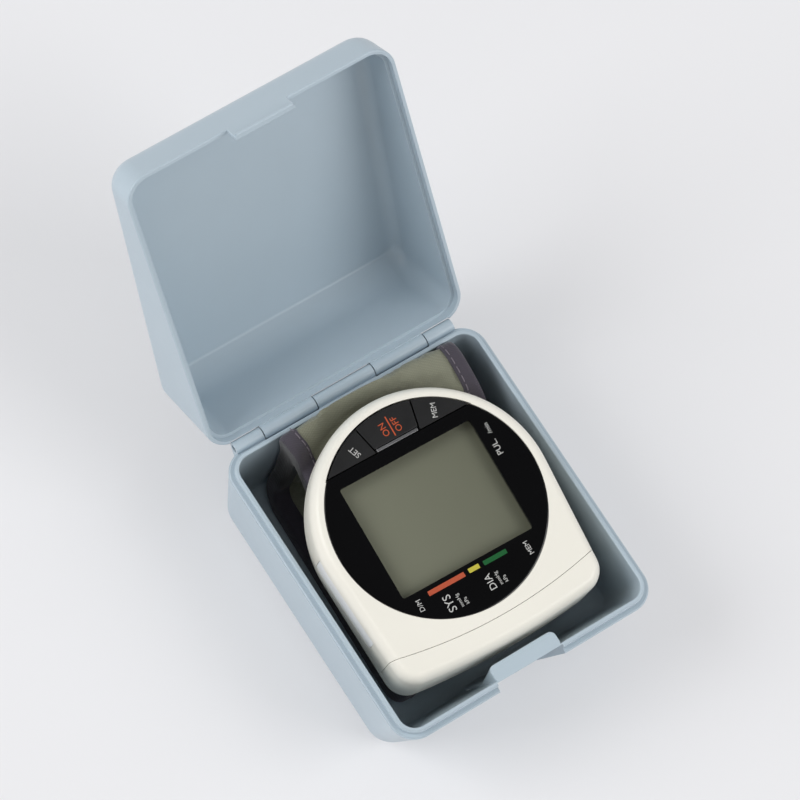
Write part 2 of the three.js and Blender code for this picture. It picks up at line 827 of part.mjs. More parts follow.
const makeValve = () => rodX(
  valve.radius,
  valveEnd - valve.length,
  valveEnd,
  valve.back,
  backAt(valve.back, housing.wall + fit.gap + valve.radius),
);

function makePort() {
  const low = backAt(portBack, -coverInset - cuff.bladder);
  const flangeLow = backAt(portBack + port.flange, housing.wall + fit.gap);
  const flange = rodZ(port.flange, flangeLow, flangeLow + port.flangeThickness, port.right, portBack);
  const spout = rodZ(port.radius, low, pumpHeight + port.radius, port.right, portBack);
  const barb = rodX(nozzle.radius, port.right, port.right + port.radius + port.barb, portBack, pumpHeight);
  return joined([flange, spout, barb]);
}

// The hose slips over the pump's nozzle and the port's barb, with a half turn between them
function makeHose() {
  const bend = (portBack - pumpBack) / 2;
  const bendStart = headEnd + nozzle.length + hose.radius;
  const points = [
    [headEnd + fit.gap, pumpBack],
    ...arcPoints(bendStart, pumpBack + bend, bend, -quarter, quarter, fine.corner),
    [port.right + port.radius + fit.gap, portBack],
  ];
  const route = points.map(([x, y]) => new THREE.Vector3(x, y, pumpHeight));
  return tube(route, hose.radius, hose.bore, fine.small);
}

// Cells and contacts
function makeCell(index) {
  const side = index === 0 ? -1 : 1;
  const back = cellBacks[index];
  const height = cellHeight(back);
  const nubEnd = side * (contactFace - fit.gap);
  const bodyEnd = nubEnd - side * cell.nub;
  const tail = nubEnd - side * cell.length;
  const rod = (radius, p, q, sides) => rodX(radius, Math.min(p, q), Math.max(p, q), back, height, sides);
  const can = rod(cell.radius, bodyEnd, tail, fine.round);
  return can.add(rod(cell.nubRadius, nubEnd, bodyEnd - side * cell.nub, fine.small));
}

const contactPlate = (side, backs) => block(
  side > 0 ? contactFace : -contactFace - contact.thickness,
  side > 0 ? contactFace + contact.thickness : -contactFace,
  Math.min(...backs) - cell.radius / 2,
  Math.max(...backs) + cell.radius / 2,
  cellHeight(Math.min(...backs)) - cell.radius / 2,
  cellHeight(Math.max(...backs)) + cell.radius / 2,
);

function makeSpring(index) {
  const side = index === 0 ? 1 : -1;
  const back = cellBacks[index];
  const steps = contact.turns * fine.turn;
  const wireGap = fit.gap + contact.wire;
  const points = Array.from({ length: steps + 1 }, (_, k) => {
    const share = k / steps;
    const angle = share * contact.turns * 4 * quarter;
    const radius = contact.springRadius + (contact.springTip - contact.springRadius) * share;
    const along = side * (contactFace - wireGap - (contact.spring - fit.gap - 2 * wireGap) * share);
    const rise = cellHeight(back) + radius * Math.sin(angle);
    return new THREE.Vector3(along, back + radius * Math.cos(angle), rise);
  });
  return tube(points, contact.wire, 0, steps);
}

// Cuff, in a frame that lies flat with its centre at the monitor's face
// The loop's outline, moved in by an inset: straight runs joined by round corners
function loopOutline(inset) {
  const { corners, radii } = loopPlan;
  const count = corners.length;
  const normals = corners.map((p, i) => {
    const q = corners[(i + 1) % count];
    const length = Math.hypot(q[0] - p[0], q[1] - p[1]);
    return [(q[1] - p[1]) / length, -(q[0] - p[0]) / length];
  });
  return corners.flatMap((p, i) => {
    const before = normals[(i + count - 1) % count];
    const after = normals[i];
    const spread = 1 + before[0] * after[0] + before[1] * after[1];
    const cx = p[0] - radii[i] * (before[0] + after[0]) / spread;
    const cy = p[1] - radii[i] * (before[1] + after[1]) / spread;
    const from = Math.atan2(before[1], before[0]);
    let to = Math.atan2(after[1], after[0]);
    if (to < from) to += 4 * quarter;
    return arcPoints(cx, cy, radii[i] - inset, from, to, fine.corner + 1);
  });
}

const tapeInset = cuff.tape + fit.gap;
const coverInset = tapeInset + cuff.cover;
const bladderInset = coverInset + fit.gap;
const liningInset = bladderInset + cuff.bladder + fit.gap;
const loopThickness = liningInset + cuff.cover + tapeInset;
const cuffLeft = cuff.shift - cuff.width / 2;
const cuffRight = cuff.shift + cuff.width / 2;

// A stowed cuff leans a little sideways from its top down
const lean = new THREE.Matrix4().set(
  1, 0, cuff.lean, -cuff.lean * loopPlan.corners[2][1],
  0, 1, 0, 0,
  0, 0, 1, 0,
  0, 0, 0, 1,
);

function band(outer, inner, from, to) {
  return moved(sideways(loopOutline(outer), from, to, loopOutline(inner)), lean);
}

function makeTape(side) {
  const edge = side > 0 ? cuffRight : cuffLeft;
  const inner = edge - side * cuff.tapeWidth;
  const mouth = edge - side * cuff.tape;
  const beyond = inner - side * fit.overrun;
  const whole = band(0, loopThickness, Math.min(edge, inner), Math.max(edge, inner));
  const slot = band(cuff.tape, loopThickness - cuff.tape, Math.min(mouth, beyond), Math.max(mouth, beyond));
  return whole.subtract(slot);
}

const insideLeft = cuffLeft + tapeInset;
const insideRight = cuffRight - tapeInset;
const layer = (outer, thickness) => band(outer, outer + thickness, insideLeft, insideRight);

const tiltMatrix = new THREE.Matrix4().makeRotationX(tilt);

function portHoleInCuff() {
  return moved(rodZ(port.radius + fit.gap, deepest, 0, port.right, portBack), tiltMatrix);
}

// The stretch of the loop's flat top that lies under the housing, and the patch on its flat floor run
const reachAll = 4 * headRadius;
const topStart = loopPlan.front + cuff.frontRadius + cuff.stiffenerShort;
const topEnd = loopPlan.rear - cuff.topRearRadius - cuff.stiffenerShort;
const middleHeight = (loopPlan.topAt(topStart) + loopPlan.bottom) / 2;
const topRun = (trim) => block(-reachAll, reachAll, topStart - trim, topEnd + trim, middleHeight, reachAll);
const patchMiddle = (loopPlan.front + loopPlan.rear) / 2;

const hookArea = (trim) => block(
  -reachAll,
  reachAll,
  patchMiddle - cuff.hookLength / 2 - trim,
  patchMiddle + cuff.hookLength / 2 + trim,
  -reachAll,
  middleHeight,
);

function makeCuffLayers() {
  const outer = layer(tapeInset, cuff.cover);
  const padding = layer(bladderInset, cuff.bladder);
  return {
    cover: outer.subtract(hookArea(fit.gap)).subtract(portHoleInCuff()),
    hook: outer.intersect(hookArea(0)),
    stiffener: padding.intersect(topRun(0)).subtract(portHoleInCuff()),
    bladder: padding.subtract(topRun(fit.gap)),
    lining: layer(liningInset, cuff.cover),
  };
}

// Assembly
function node(parent, name, shape, finish) {
  const geometry = shape.isBufferGeometry ? shape : geometryFrom(shape);
  const mesh = new THREE.Mesh(geometry, new THREE.MeshStandardMaterial(finishes[finish]));
  mesh.name = name;
  parent.add(mesh);
  return mesh;
}

const product = new THREE.Group();

node(product, 'case_base', makeCaseBase(), 'caseBlue');
const pinEnd = hingeSpan / 2 - fit.gap;
node(product, 'hinge_pin', rodX(hinge.pin, -pinEnd, pinEnd, hingeY, hingeZ), 'steel');

const lidPivot = new THREE.Group();
lidPivot.position.set(0, hingeY, hingeZ);
lidPivot.rotation.x = -lid.openAngle * degree;
product.add(lidPivot);
node(lidPivot, 'case_lid', makeCaseLid(), 'caseBlue');

const stowed = new THREE.Group();
stowed.position.set(0, faceBack, faceZ);
stowed.rotation.z = stow.turn * degree;
product.add(stowed);

const monitor = new THREE.Group();
monitor.rotation.x = tilt;
stowed.add(monitor);

const shells = makeHousingShells();
const rear = shells.rearHousing.add(bayWalls()).subtract(screwHoles()).subtract(portHole());
node(monitor, 'front_housing', shells.frontHousing.subtract(screwHoles()), 'cream');
node(monitor, 'battery_cover', shells.batteryCover, 'cream');
node(monitor, 'rear_housing', rear, 'cream');
node(monitor, 'face_plate', makeFacePlate(), 'glossBlack');
node(monitor, 'display_window', makePane(), 'window');
node(monitor, 'lcd_panel', makeLcd(), 'lcd');
node(monitor, 'lcd_holder', makeHolder(), 'darkPlastic');
node(monitor, 'circuit_board', makeBoard(), 'greenBoard');

const keySet = makeKeys();
node(monitor, 'set_key', keySet.set, 'keyGrey');
node(monitor, 'on_off_key', keySet.onOff, 'keyGrey');
node(monitor, 'on_off_key_bar', keySet.bar, 'silver');
node(monitor, 'mem_key', keySet.mem, 'keyGrey');
node(monitor, 'key_mat', makeKeyMat(), 'rubber');

const motorEnd = headStart - fit.gap;
node(monitor, 'pump_motor', rodX(pump.radius, pumpStart, motorEnd, pumpBack, pumpHeight), 'steel');
node(monitor, 'pump_head', makePumpHead(), 'white');
node(monitor, 'air_valve', makeValve(), 'darkPlastic');
node(monitor, 'air_hose', makeHose(), 'rubber');
node(monitor, 'air_port', makePort(), 'white');
const sensorTop = boardBottom - fit.gap;
node(monitor, 'pressure_sensor', block(
  sensorRight - sensor.width / 2,
  sensorRight + sensor.width / 2,
  sensor.back - sensor.depth / 2,
  sensor.back + sensor.depth / 2,
  sensorTop - sensor.height,
  sensorTop,
), 'darkPlastic');
const buzzerLow = sensorTop - buzzer.thickness;
node(monitor, 'buzzer', rodZ(buzzer.radius, buzzerLow, sensorTop, buzzerRight, buzzer.back), 'darkPlastic');

node(monitor, 'battery_front', makeCell(0), 'cell');
node(monitor, 'battery_rear', makeCell(1), 'cell');
node(monitor, 'contact_link', contactPlate(-1, cellBacks), 'spring');
['front', 'rear'].forEach((place, index) => {
  node(monitor, `contact_plate_${place}`, contactPlate(1, [cellBacks[index]]), 'spring');
  node(monitor, `contact_spring_${place}`, makeSpring(index), 'spring');
});
bossPlaces.forEach((place, index) => node(monitor, `housing_screw_${index + 1}`, makeScrew(place), 'steel'));
const labelSkin = housingBody(0).subtract(housingBody(label.thickness));
node(monitor, 'side_label', labelBlock(0).intersect(labelSkin), 'label');

const layers = makeCuffLayers();
node(stowed, 'cuff_cover', layers.cover, 'fabric');
node(stowed, 'cuff_lining', layers.lining, 'fabric');
node(stowed, 'cuff_bladder', layers.bladder, 'rubber');
node(stowed, 'cuff_stiffener', layers.stiffener, 'darkPlastic');
node(stowed, 'cuff_hook_patch', layers.hook, 'lining');
node(stowed, 'cuff_tape_left', makeTape(-1), 'tape');
node(stowed, 'cuff_tape_right', makeTape(1), 'tape');

export default product;
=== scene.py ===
from math import acos, asin, atan2, cos, hypot, pi, radians, sin, sqrt, tan

import bmesh
import bpy
import numpy as np
from mathutils import Matrix


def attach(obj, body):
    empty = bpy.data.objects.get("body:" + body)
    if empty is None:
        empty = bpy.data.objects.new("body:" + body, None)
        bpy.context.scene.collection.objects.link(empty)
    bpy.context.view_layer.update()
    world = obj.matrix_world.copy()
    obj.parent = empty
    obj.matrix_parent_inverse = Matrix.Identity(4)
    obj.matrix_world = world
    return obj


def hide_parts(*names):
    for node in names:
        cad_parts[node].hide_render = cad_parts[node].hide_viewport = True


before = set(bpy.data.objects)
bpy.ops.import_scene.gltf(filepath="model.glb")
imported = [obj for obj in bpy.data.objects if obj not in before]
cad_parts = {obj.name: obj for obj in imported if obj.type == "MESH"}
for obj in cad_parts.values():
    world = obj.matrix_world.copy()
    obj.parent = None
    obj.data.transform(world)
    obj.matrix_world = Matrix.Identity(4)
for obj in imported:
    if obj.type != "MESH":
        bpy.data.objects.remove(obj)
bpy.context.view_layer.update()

# Sizes below are millimetres and degrees; meshes are made in metres
mm = 0.001
quarter = pi / 2
overrun = 3
# How far in and down a small bevelled edge has its middle ring, as a share of the bevel
bevelShare = 0.3
# Edges sharper than this get a bevel; corners closer than this are welded
bevelAngle = 35
weldReach = 0.002
scene = bpy.context.scene
# Lays what is drawn up z along x
alongX = Matrix(((0, 0, 1, 0), (1, 0, 0, 0), (0, 1, 0, 0), (0, 0, 0, 1)))
print("frame loaded:", len(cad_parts), "nodes")


# Small tools for points, rings and meshes
def arcPoints(cx, cy, radius, start, end, steps):
    return [(cx + radius * cos(a), cy + radius * sin(a)) for a in np.linspace(start, end, steps + 1)]


def circlePoints(radius, steps, cx=0, cy=0):
    return arcPoints(cx, cy, radius, 0, 4 * quarter, steps)[:-1]


def roundedRectangle(left, right, front, rear, radius, steps):
    west, east, south, north = left + radius, right - radius, front + radius, rear - radius
    points = []
    for turn, (cx, cy) in enumerate(((east, north), (west, north), (west, south), (east, south))):
        points += arcPoints(cx, cy, radius, turn * quarter, (turn + 1) * quarter, steps)
    return points


# Steps along a quarter round: (share inward, share upward) from flat to upright
def quarterSteps(steps):
    return [(1 - sin(k / steps * quarter), 1 - cos(k / steps * quarter)) for k in range(steps + 1)]


def pointsBetween(start, end, steps):
    shares = [k / steps for k in range(1, steps)]
    return [(start[0] + (end[0] - start[0]) * t, start[1] + (end[1] - start[1]) * t) for t in shares]


def softStep(value):
    value = min(1, max(0, value))
    return value * value * (3 - 2 * value)


def ringAt(outline, z):
    return [(x, y, z) for x, y in outline]


# Every place of a ring with the next one
def turnsOf(count):
    return [(i, (i + 1) % count) for i in range(count)]


def rotation(angle, axis):
    return Matrix.Rotation(radians(angle), 4, axis)


def addObject(name, data):
    obj = bpy.data.objects.new(name, data)
    scene.collection.objects.link(obj)
    return obj


def makeMesh(name, points, faces=(), edges=()):
    mesh = bpy.data.meshes.new(name)
    mesh.from_pydata((np.array(points, float) * mm).tolist(), edges, faces)
    mesh.validate()
    return addObject(name, mesh)


# A skin over rings of equal count, each counter-clockwise from above; the ends close on a middle point
def ringSurface(name, rings, closed=False):
    count, rows = len(rings[0]), len(rings)
    points = [p for ring in rings for p in ring]
    turns = turnsOf(count)
    faces = []
    for k in range(rows if closed else rows - 1):
        below, above = k * count, (k + 1) % rows * count
        faces += [(below + i, below + j, above + j, above + i) for i, j in turns]
    if not closed:
        first, top = len(points), (rows - 1) * count
        points += [tuple(np.mean(ring, axis=0)) for ring in (rings[0], rings[-1])]
        for i, j in turns:
            faces += [(first, j, i), (first + 1, top + i, top + j)]
    return makeMesh(name, points, faces)


# Drawn straight up from an outline of (x, y)
def prism(name, outline, low, high):
    return ringSurface(name, [ringAt(outline, low), ringAt(outline, high)])


def block(name, left, right, front, rear, low, high, rounding=0):
    obj = prism(name, [(left, front), (right, front), (right, rear), (left, rear)], low, high)
    mesh = bmesh.new()
    mesh.from_mesh(obj.data)
    bmesh.ops.dissolve_limit(mesh, angle_limit=0.01, verts=mesh.verts, edges=mesh.edges)
    if rounding:
        bmesh.ops.bevel(mesh, geom=mesh.edges[:], offset=rounding * mm, segments=3,
                        profile=0.5, affect="EDGES", clamp_overlap=True)
    mesh.to_mesh(obj.data)
    mesh.free()
    return obj


def rodX(name, radius, start, end, y, z, sides=32):
    obj = prism(name, circlePoints(radius, sides), start, end)
    obj.data.transform(Matrix.Translation((0, y * mm, z * mm)) @ alongX)
    return obj


def rodZ(name, radius, low, high, x, y, sides=40):
    return prism(name, circlePoints(radius, sides, x, y), low, high)


def evaluatedMesh(obj):
    graph = bpy.context.evaluated_depsgraph_get()
    graph.update()
    return bpy.data.meshes.new_from_object(obj.evaluated_get(graph))


# The mesh as the modifiers leave it becomes the object's own
def bake(obj):
    mesh = evaluatedMesh(obj)
    obj.modifiers.clear()
    obj.data = mesh
    return obj


def change(obj, kind, **settings):
    step = obj.modifiers.new(kind.lower(), kind)
    for name, value in settings.items():
        setattr(step, name, value)
    return bake(obj)


def combine(obj, others, operation):
    for other in others:
        change(obj, "BOOLEAN", operation=operation, solver="EXACT", object=other)
        bpy.data.objects.remove(other)
    return obj


def cut(obj, *others):
    return combine(obj, others, "DIFFERENCE")


def join(obj, *others):
    return combine(obj, others, "UNION")


def keep(obj, other):
    return combine(obj, [other], "INTERSECT")


def duplicate(obj, name):
    return addObject(name, obj.data.copy())


def softenEdges(obj, width, segments=2):
    return change(obj, "BEVEL", width=width * mm, segments=segments, limit_method="ANGLE",
                  angle_limit=radians(bevelAngle), miter_outer="MITER_ARC")


def smooth(obj, angle=32):
    weld = weldReach * mm
    mesh = bmesh.new()
    mesh.from_mesh(obj.data)
    bmesh.ops.remove_doubles(mesh, verts=mesh.verts, dist=weld)
    bmesh.ops.dissolve_degenerate(mesh, dist=weld, edges=mesh.edges)
    mesh.to_mesh(obj.data)
    mesh.free()
    obj.data.shade_smooth()
    obj.data.set_sharp_from_angle(angle=radians(angle))
    return change(obj, "WEIGHTED_NORMAL", keep_sharp=True)


# Moves a mesh to its place; the object itself stays at the origin
def settle(obj, matrix):
    inMetres = matrix.copy()
    inMetres.translation = inMetres.translation * mm
    obj.data.transform(inMetres)
    return obj


def finishPiece(obj, material, body, slot, *nodes):
    obj.data.materials.clear()
    obj.data.materials.append(material)
    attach(obj, body)
    if nodes:
        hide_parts(*nodes)


# Small tools for node trees
def linear(value):
    share = value / 255
    return share / 12.92 if share <= 0.04045 else ((share + 0.055) / 1.055) ** 2.4


def rgb(red, green, blue):
    return (linear(red), linear(green), linear(blue), 1)


def shade(colour, amount):
    return (*(min(1, channel * amount) for channel in colour[:3]), 1)


# Sockets of other nodes are linked, other values are set; _ in a name stands for a space, i0 for input 0
def feed(node, **sockets):
    for name, value in sockets.items():
        key = int(name[1:]) if name[1:].isdigit() else name.replace("_", " ")
        if isinstance(value, bpy.types.NodeSocket):
            node.id_data.links.new(value, node.inputs[key])
        else:
            node.inputs[key].default_value = value
    return node


def addNode(tree, kind, settings=None, **sockets):
    node = tree.nodes.new(kind)
    for name, value in (settings or {}).items():
        setattr(node, name, value)
    return feed(node, **sockets)


# As addNode, but gives the new node's first output
def result(tree, kind, settings=None, **sockets):
    return addNode(tree, kind, settings, **sockets).outputs[0]


def calculate(tree, operation, first, second=0.5):
    return result(tree, "ShaderNodeMath", {"operation": operation}, i0=first, i1=second)


def times(tree, first, second):
    return calculate(tree, "MULTIPLY", first, second)


def noise(tree, where, scale, detail=3.0, roughness=0.5):
    return result(tree, "ShaderNodeTexNoise", Vector=where, Scale=scale, Detail=detail, Roughness=roughness)


def between(tree, factor, low, high, fromLow=0.3, fromHigh=0.7):
    return result(tree, "ShaderNodeMapRange", Value=factor, From_Min=fromLow, From_Max=fromHigh,
                  To_Min=low, To_Max=high)


def blendColours(tree, factor, first, second):
    return addNode(tree, "ShaderNodeMix", {"data_type": "RGBA"}, i0=factor, i6=first, i7=second).outputs[2]


def bump(tree, height, strength, distance):
    return result(tree, "ShaderNodeBump", Height=height, Strength=strength, Distance=distance * mm)


def newMaterial(name, **sockets):
    material = bpy.data.materials.new(name)
    material.use_nodes = True
    tree = material.node_tree
    tree.nodes.clear()
    shader = addNode(tree, "ShaderNodeBsdfPrincipled", **sockets)
    addNode(tree, "ShaderNodeOutputMaterial", Surface=shader.outputs[0])
    return material, tree, shader, addNode(tree, "ShaderNodeTexCoord").outputs["Object"]


moulding = {"cloudScale": 45, "wearScale": 130, "grainDepth": 0.02}


# Moulded plastic: a fine grain, slight clouds of colour and uneven polish
def plastic(name, colour, roughness, grain=0.12, grainScale=2600, cloud=0.03, polish=0.06, **sockets):
    material, tree, shader, where = newMaterial(name, **sockets)
    clouds = between(tree, noise(tree, where, moulding["cloudScale"], 4), 0, 1)
    uneven = noise(tree, where, moulding["wearScale"], 5, 0.6)
    feed(
        shader,
        Base_Color=blendColours(tree, clouds, shade(colour, 1 - cloud), shade(colour, 1 + cloud)),
        Roughness=between(tree, uneven, roughness - polish, roughness + polish),
        Normal=bump(tree, noise(tree, where, grainScale, 2), grain, moulding["grainDepth"]),
    )
    return material


# A new geometry tree with named sizes, a material and, where it starts from points or a line, a mesh
def startTree(name, sizes, takesMesh=True):
    tree = bpy.data.node_groups.new(name, "GeometryNodeTree")
    if takesMesh:
        tree.interface.new_socket("Geometry", in_out="INPUT", socket_type="NodeSocketGeometry")
    for label, value in sizes.items():
        socket = tree.interface.new_socket(label, in_out="INPUT", socket_type="NodeSocketFloat")
        socket.default_value = value
    tree.interface.new_socket("Material", in_out="INPUT", socket_type="NodeSocketMaterial")
    tree.interface.new_socket("Geometry", in_out="OUTPUT", socket_type="NodeSocketGeometry")
    return tree, tree.nodes.new("NodeGroupInput").outputs


# Every tree ends the same way: smooth faces, real copies, one material
def finishTree(tree, geometry, material):
    soft = result(tree, "GeometryNodeSetShadeSmooth", Geometry=geometry)
    real = result(tree, "GeometryNodeRealizeInstances", Geometry=soft)
    painted = result(tree, "GeometryNodeSetMaterial", Geometry=real, Material=material)
    addNode(tree, "NodeGroupOutput", i0=painted)
    return tree


def wireAlong(tree, curve, radius, sides):
    section = result(tree, "GeometryNodeCurvePrimitiveCircle", Resolution=sides, Radius=radius)
    return result(tree, "GeometryNodeCurveToMesh", Curve=curve, Profile_Curve=section, Fill_Caps=True)


# A bent piece of wire on each point
def copyWire(tree, points, turn, bends, steps, radius, sides):
    start, middle, end = [result(tree, "ShaderNodeCombineXYZ", X=x, Z=z) for x, z in bends]
    line = result(tree, "GeometryNodeCurveQuadraticBezier", Resolution=steps, Start=start, Middle=middle,
                  End=end)
    return result(tree, "GeometryNodeInstanceOnPoints", Points=points,
                  Instance=wireAlong(tree, line, radius, sides), Rotation=turn)


# Runs a tree on an object and keeps the result as its plain mesh
def runTree(obj, tree, material):
    step = obj.modifiers.new(tree.name, "NODES")
    step.node_group = tree
    socket = next(item for item in tree.interface.items_tree if item.name == "Material")
    step[socket.identifier] = material
    return bake(obj)


# Storage case: the same sizes as the fixed frame's case, with finer edges
case = {
    "width": 77.997, "depth": 88.797, "ledgeHeight": 32.996, "ledge": 1.4, "lip": 1.2,
    "lipHeight": 2, "floor": 2.4, "corner": 7, "bottomEdge": 6, "sideDraft": 1.5, "rearDraft": 1,
    "frontRake": 8.6, "edge": 0.45, "lipEdge": 0.35, "softening": 0.22, "cornerSteps": 14,
    "edgeSteps": 4, "bottomSteps": 10, "colour": rgb(181, 196, 206),
}
lid = {
    "frontHeight": 13.5, "rearHeight": 32, "wall": 2, "topEdge": 6, "innerEdge": 3.4,
    "foldInset": 5.4, "foldRadius": 1.6, "foldSteps": 4, "draft": 1.2, "rimGap": 0.25,
    "rimEdge": 0.5, "lipRoom": 0.3, "openAngle": 125,
}
hinge = {
    "behind": 1.2, "below": 0.35, "barrel": 1.9, "pin": 0.8, "pinRoom": 0.3, "room": 0.35, "web": 5,
    "sideGap": 0.3, "lidBarrel": 15.9, "lidSpacing": 34, "span": 66.997, "arcSteps": 20,
    "roomSides": 48, "boreSides": 28,
}
latch = {
    "tabWidth": 17.5, "tabDrop": 4.3, "tabThickness": 1.3, "tabEdge": 0.35, "bead": 0.5,
    "sideRoom": 1.25, "recessLean": 0.261, "ridge": 0.5, "ridgeRoom": 0.3, "ridgeDrop": 3.2,
    "ridgeWidth": 8, "blockGap": 0.05, "blockDepth": 4.7, "blockHeight": 14, "blockCorner": 1.6,
    "cornerShare": 0.45, "cornerSteps": 6, "blockEdge": 0.5,
}
lipTop = case["ledgeHeight"] + case["lipHeight"]
caseWall = case["ledge"] + case["lip"]
caseFront = -case["depth"] / 2
hingeY = case["depth"] / 2 + hinge["behind"]
hingeZ = case["ledgeHeight"] - hinge["below"]
roundSteps, edgeSteps = quarterSteps(case["bottomSteps"]), quarterSteps(case["edgeSteps"])


def caseRing(inset, z):
    down = max(0, 1 - z / case["ledgeHeight"])
    return ringAt(roundedRectangle(
        -case["width"] / 2 + case["sideDraft"] * down + inset,
        case["width"] / 2 - case["sideDraft"] * down - inset,
        caseFront + case["frontRake"] * down + inset,
        case["depth"] / 2 - case["rearDraft"] * down - inset,
        max(case["corner"] - inset, case["corner"] - case["bottomEdge"]),
        case["cornerSteps"],
    ), z)


# The lid's barrels, then the base's, each as (start, end)
def barrelRanges():
    half, gap, end = hinge["lidBarrel"] / 2, hinge["sideGap"], hinge["span"] / 2
    middles = [side * hinge["lidSpacing"] / 2 for side in (-1, 1)]
    first, second = [(middle - half, middle + half) for middle in middles]
    base = [(-end, first[0] - gap), (first[1] + gap, second[0] - gap), (second[1] + gap, end)]
    return [first, second], base


lidBarrels, baseBarrels = barrelRanges()


# Adds barrels on one side of the hinge, makes room for the other part's and bores for the pin
def addHinge(body, own, others, side):
    gap, web = hinge["sideGap"], hingeZ + side * hinge["web"]
    profile = [
        (hingeY - hinge["barrel"], web),
        (case["depth"] / 2, web),
        (hingeY + hinge["barrel"], hingeZ),
        *arcPoints(hingeY, hingeZ, hinge["barrel"], 0, -side * 2 * quarter, hinge["arcSteps"])[1:],
    ]
    profile = profile[::-side]
    room, sides = hinge["barrel"] + hinge["room"], hinge["roomSides"]
    cut(body, *[rodX("room", room, start - gap, end + gap, hingeY, hingeZ, sides) for start, end in others])
    join(body, *[settle(prism("barrel", profile, *ends), alongX) for ends in own])
    bore, span = hinge["pin"] + hinge["pinRoom"], hinge["span"]
    return cut(body, rodX("bore", bore, -span, span, hingeY, hingeZ, hinge["boreSides"]))


# The recess leans inward as the front wall does and runs out in the bottom rounding
def thumbRecess(half, face):
    low = -overrun
    profile = [
        (-case["depth"], low),
        (face + latch["recessLean"] * (lipTop - low), low),
        (face, lipTop),
        (face, lipTop + overrun),
        (-case["depth"], lipTop + overrun),
    ]
    return settle(prism("recess", profile, -half, half), alongX)


# The catch block, which goes on down the raked wall as a rib behind the recess
def catchBlock(half, face):
    low, step, soft = case["floor"] + 1, lipTop - latch["blockHeight"], latch["blockEdge"]
    slight = bevelShare * soft
    levels = [(z, 0) for z in (low, step, case["ledgeHeight"], lipTop - soft)]
    levels += [(lipTop - slight, slight), (lipTop, soft)]
    rings = []
    for z, inset in levels:
        front = caseFront + case["ledge"] + case["lipEdge"]
        front += case["frontRake"] * max(0, 1 - z / case["ledgeHeight"])
        rear = face + latch["blockDepth"] + latch["recessLean"] * max(0, step - z)
        rear -= inset
        corner = min(latch["blockCorner"], latch["cornerShare"] * (rear - front))
        plan = roundedRectangle(-half + inset, half - inset, front, rear, corner, latch["cornerSteps"])
        rings.append(ringAt(plan, z))
    return ringSurface("catch", rings)


def makeCaseBase():
    bottom, edge, lipEdge = case["bottomEdge"], case["edge"], case["lipEdge"]
    ledgeZ, lipOut = case["ledgeHeight"], case["ledge"]
    inner, upward = bottom - caseWall, edgeSteps[::-1]
    rings = [caseRing(bottom * a, bottom * b) for a, b in roundSteps]
    rings += [caseRing(edge * (1 - b), ledgeZ - edge * (1 - a)) for a, b in upward]
    rings += [caseRing(lipOut, ledgeZ)]
    rings += [caseRing(lipOut + lipEdge * (1 - b), lipTop - lipEdge * (1 - a)) for a, b in upward]
    rings += [caseRing(caseWall - lipEdge * a, lipTop - lipEdge * b) for a, b in edgeSteps]
    rings += [caseRing(caseWall + inner * a, case["floor"] + inner * b) for a, b in reversed(roundSteps)]
    body = ringSurface("caseBase", rings)
    half = latch["tabWidth"] / 2 + latch["sideRoom"]
    face = caseFront + latch["tabThickness"] + latch["ridge"] + latch["ridgeRoom"]
    ridgeZ = ledgeZ - latch["ridgeDrop"]
    ridge = rodX("ridge", latch["ridge"], -latch["ridgeWidth"] / 2, latch["ridgeWidth"] / 2,
                 face + latch["recessLean"] * (lipTop - ridgeZ), ridgeZ)
    join(body, catchBlock(half - latch["blockGap"], face))
    cut(body, thumbRecess(half, face))
    join(body, ridge)
    return smooth(softenEdges(addHinge(body, baseBarrels, lidBarrels, -1), case["softening"]))


def lidTop(y):
    share = y / case["depth"] + 0.5
    return case["ledgeHeight"] + lid["frontHeight"] + (lid["rearHeight"] - lid["frontHeight"]) * share


def lidOutline(inset, z):
    up = max(0, z - case["ledgeHeight"]) / lidTop(0)
    drawn = inset + lid["draft"] * up
    corner = max(case["corner"] - inset, case["corner"] - lid["topEdge"])
    return roundedRectangle(-case["width"] / 2 + drawn, case["width"] / 2 - drawn, caseFront + drawn,
                            case["depth"] / 2 - drawn, corner, case["cornerSteps"])


def lidRing(inset, z):
    return ringAt(lidOutline(inset, z), z)


def lidRoofRing(inset, drop):
    return [(x, y, lidTop(y) - drop) for x, y in lidOutline(inset, lidTop(0) - drop)]


# Inside the lid: (inward, down) in mm from the roof to the walls, a plain quarter round at the sides
# and at the rear a tight fold that runs out in a long bend
def innerSteps():
    steps, crease, tight = case["bottomSteps"], lid["foldSteps"], lid["foldRadius"]
    half = sin(quarter / 2)
    wide = (lid["foldInset"] - half * tight) / (1 - half)
    rear = []
    for k in range(crease):
        turned = quarter / 2 * (k / crease)
        rear.append((lid["foldInset"] - tight * sin(turned), tight * (1 - cos(turned))))
    for k in range(crease, steps + 1):
        turned = quarter / 2 * (1 + (k - crease) / (steps - crease))
        rear.append((wide * (1 - sin(turned)), (1 - half) * tight + wide * (half - cos(turned))))
    return zip([(lid["innerEdge"] * a, lid["innerEdge"] * b) for a, b in roundSteps], rear)


def lidInnerRing(sideInset, sideDrop, rearInset, rearDrop):
    steps, wall = case["cornerSteps"], lid["wall"]
    plan = lidOutline(wall + sideInset, lidTop(0) - wall)
    rear = max(y for _, y in plan)
    shares = [k / steps for k in range(steps + 1)]
    shares += shares[::-1] + [0] * (2 * steps + 2)
    ring = []
    for (x, y), share in zip(plan, shares):
        y += (sideInset - rearInset) * softStep(y / rear)
        ring.append((x, y, lidTop(y) - wall - sideDrop * (1 - share) - rearDrop * share))
    return ring


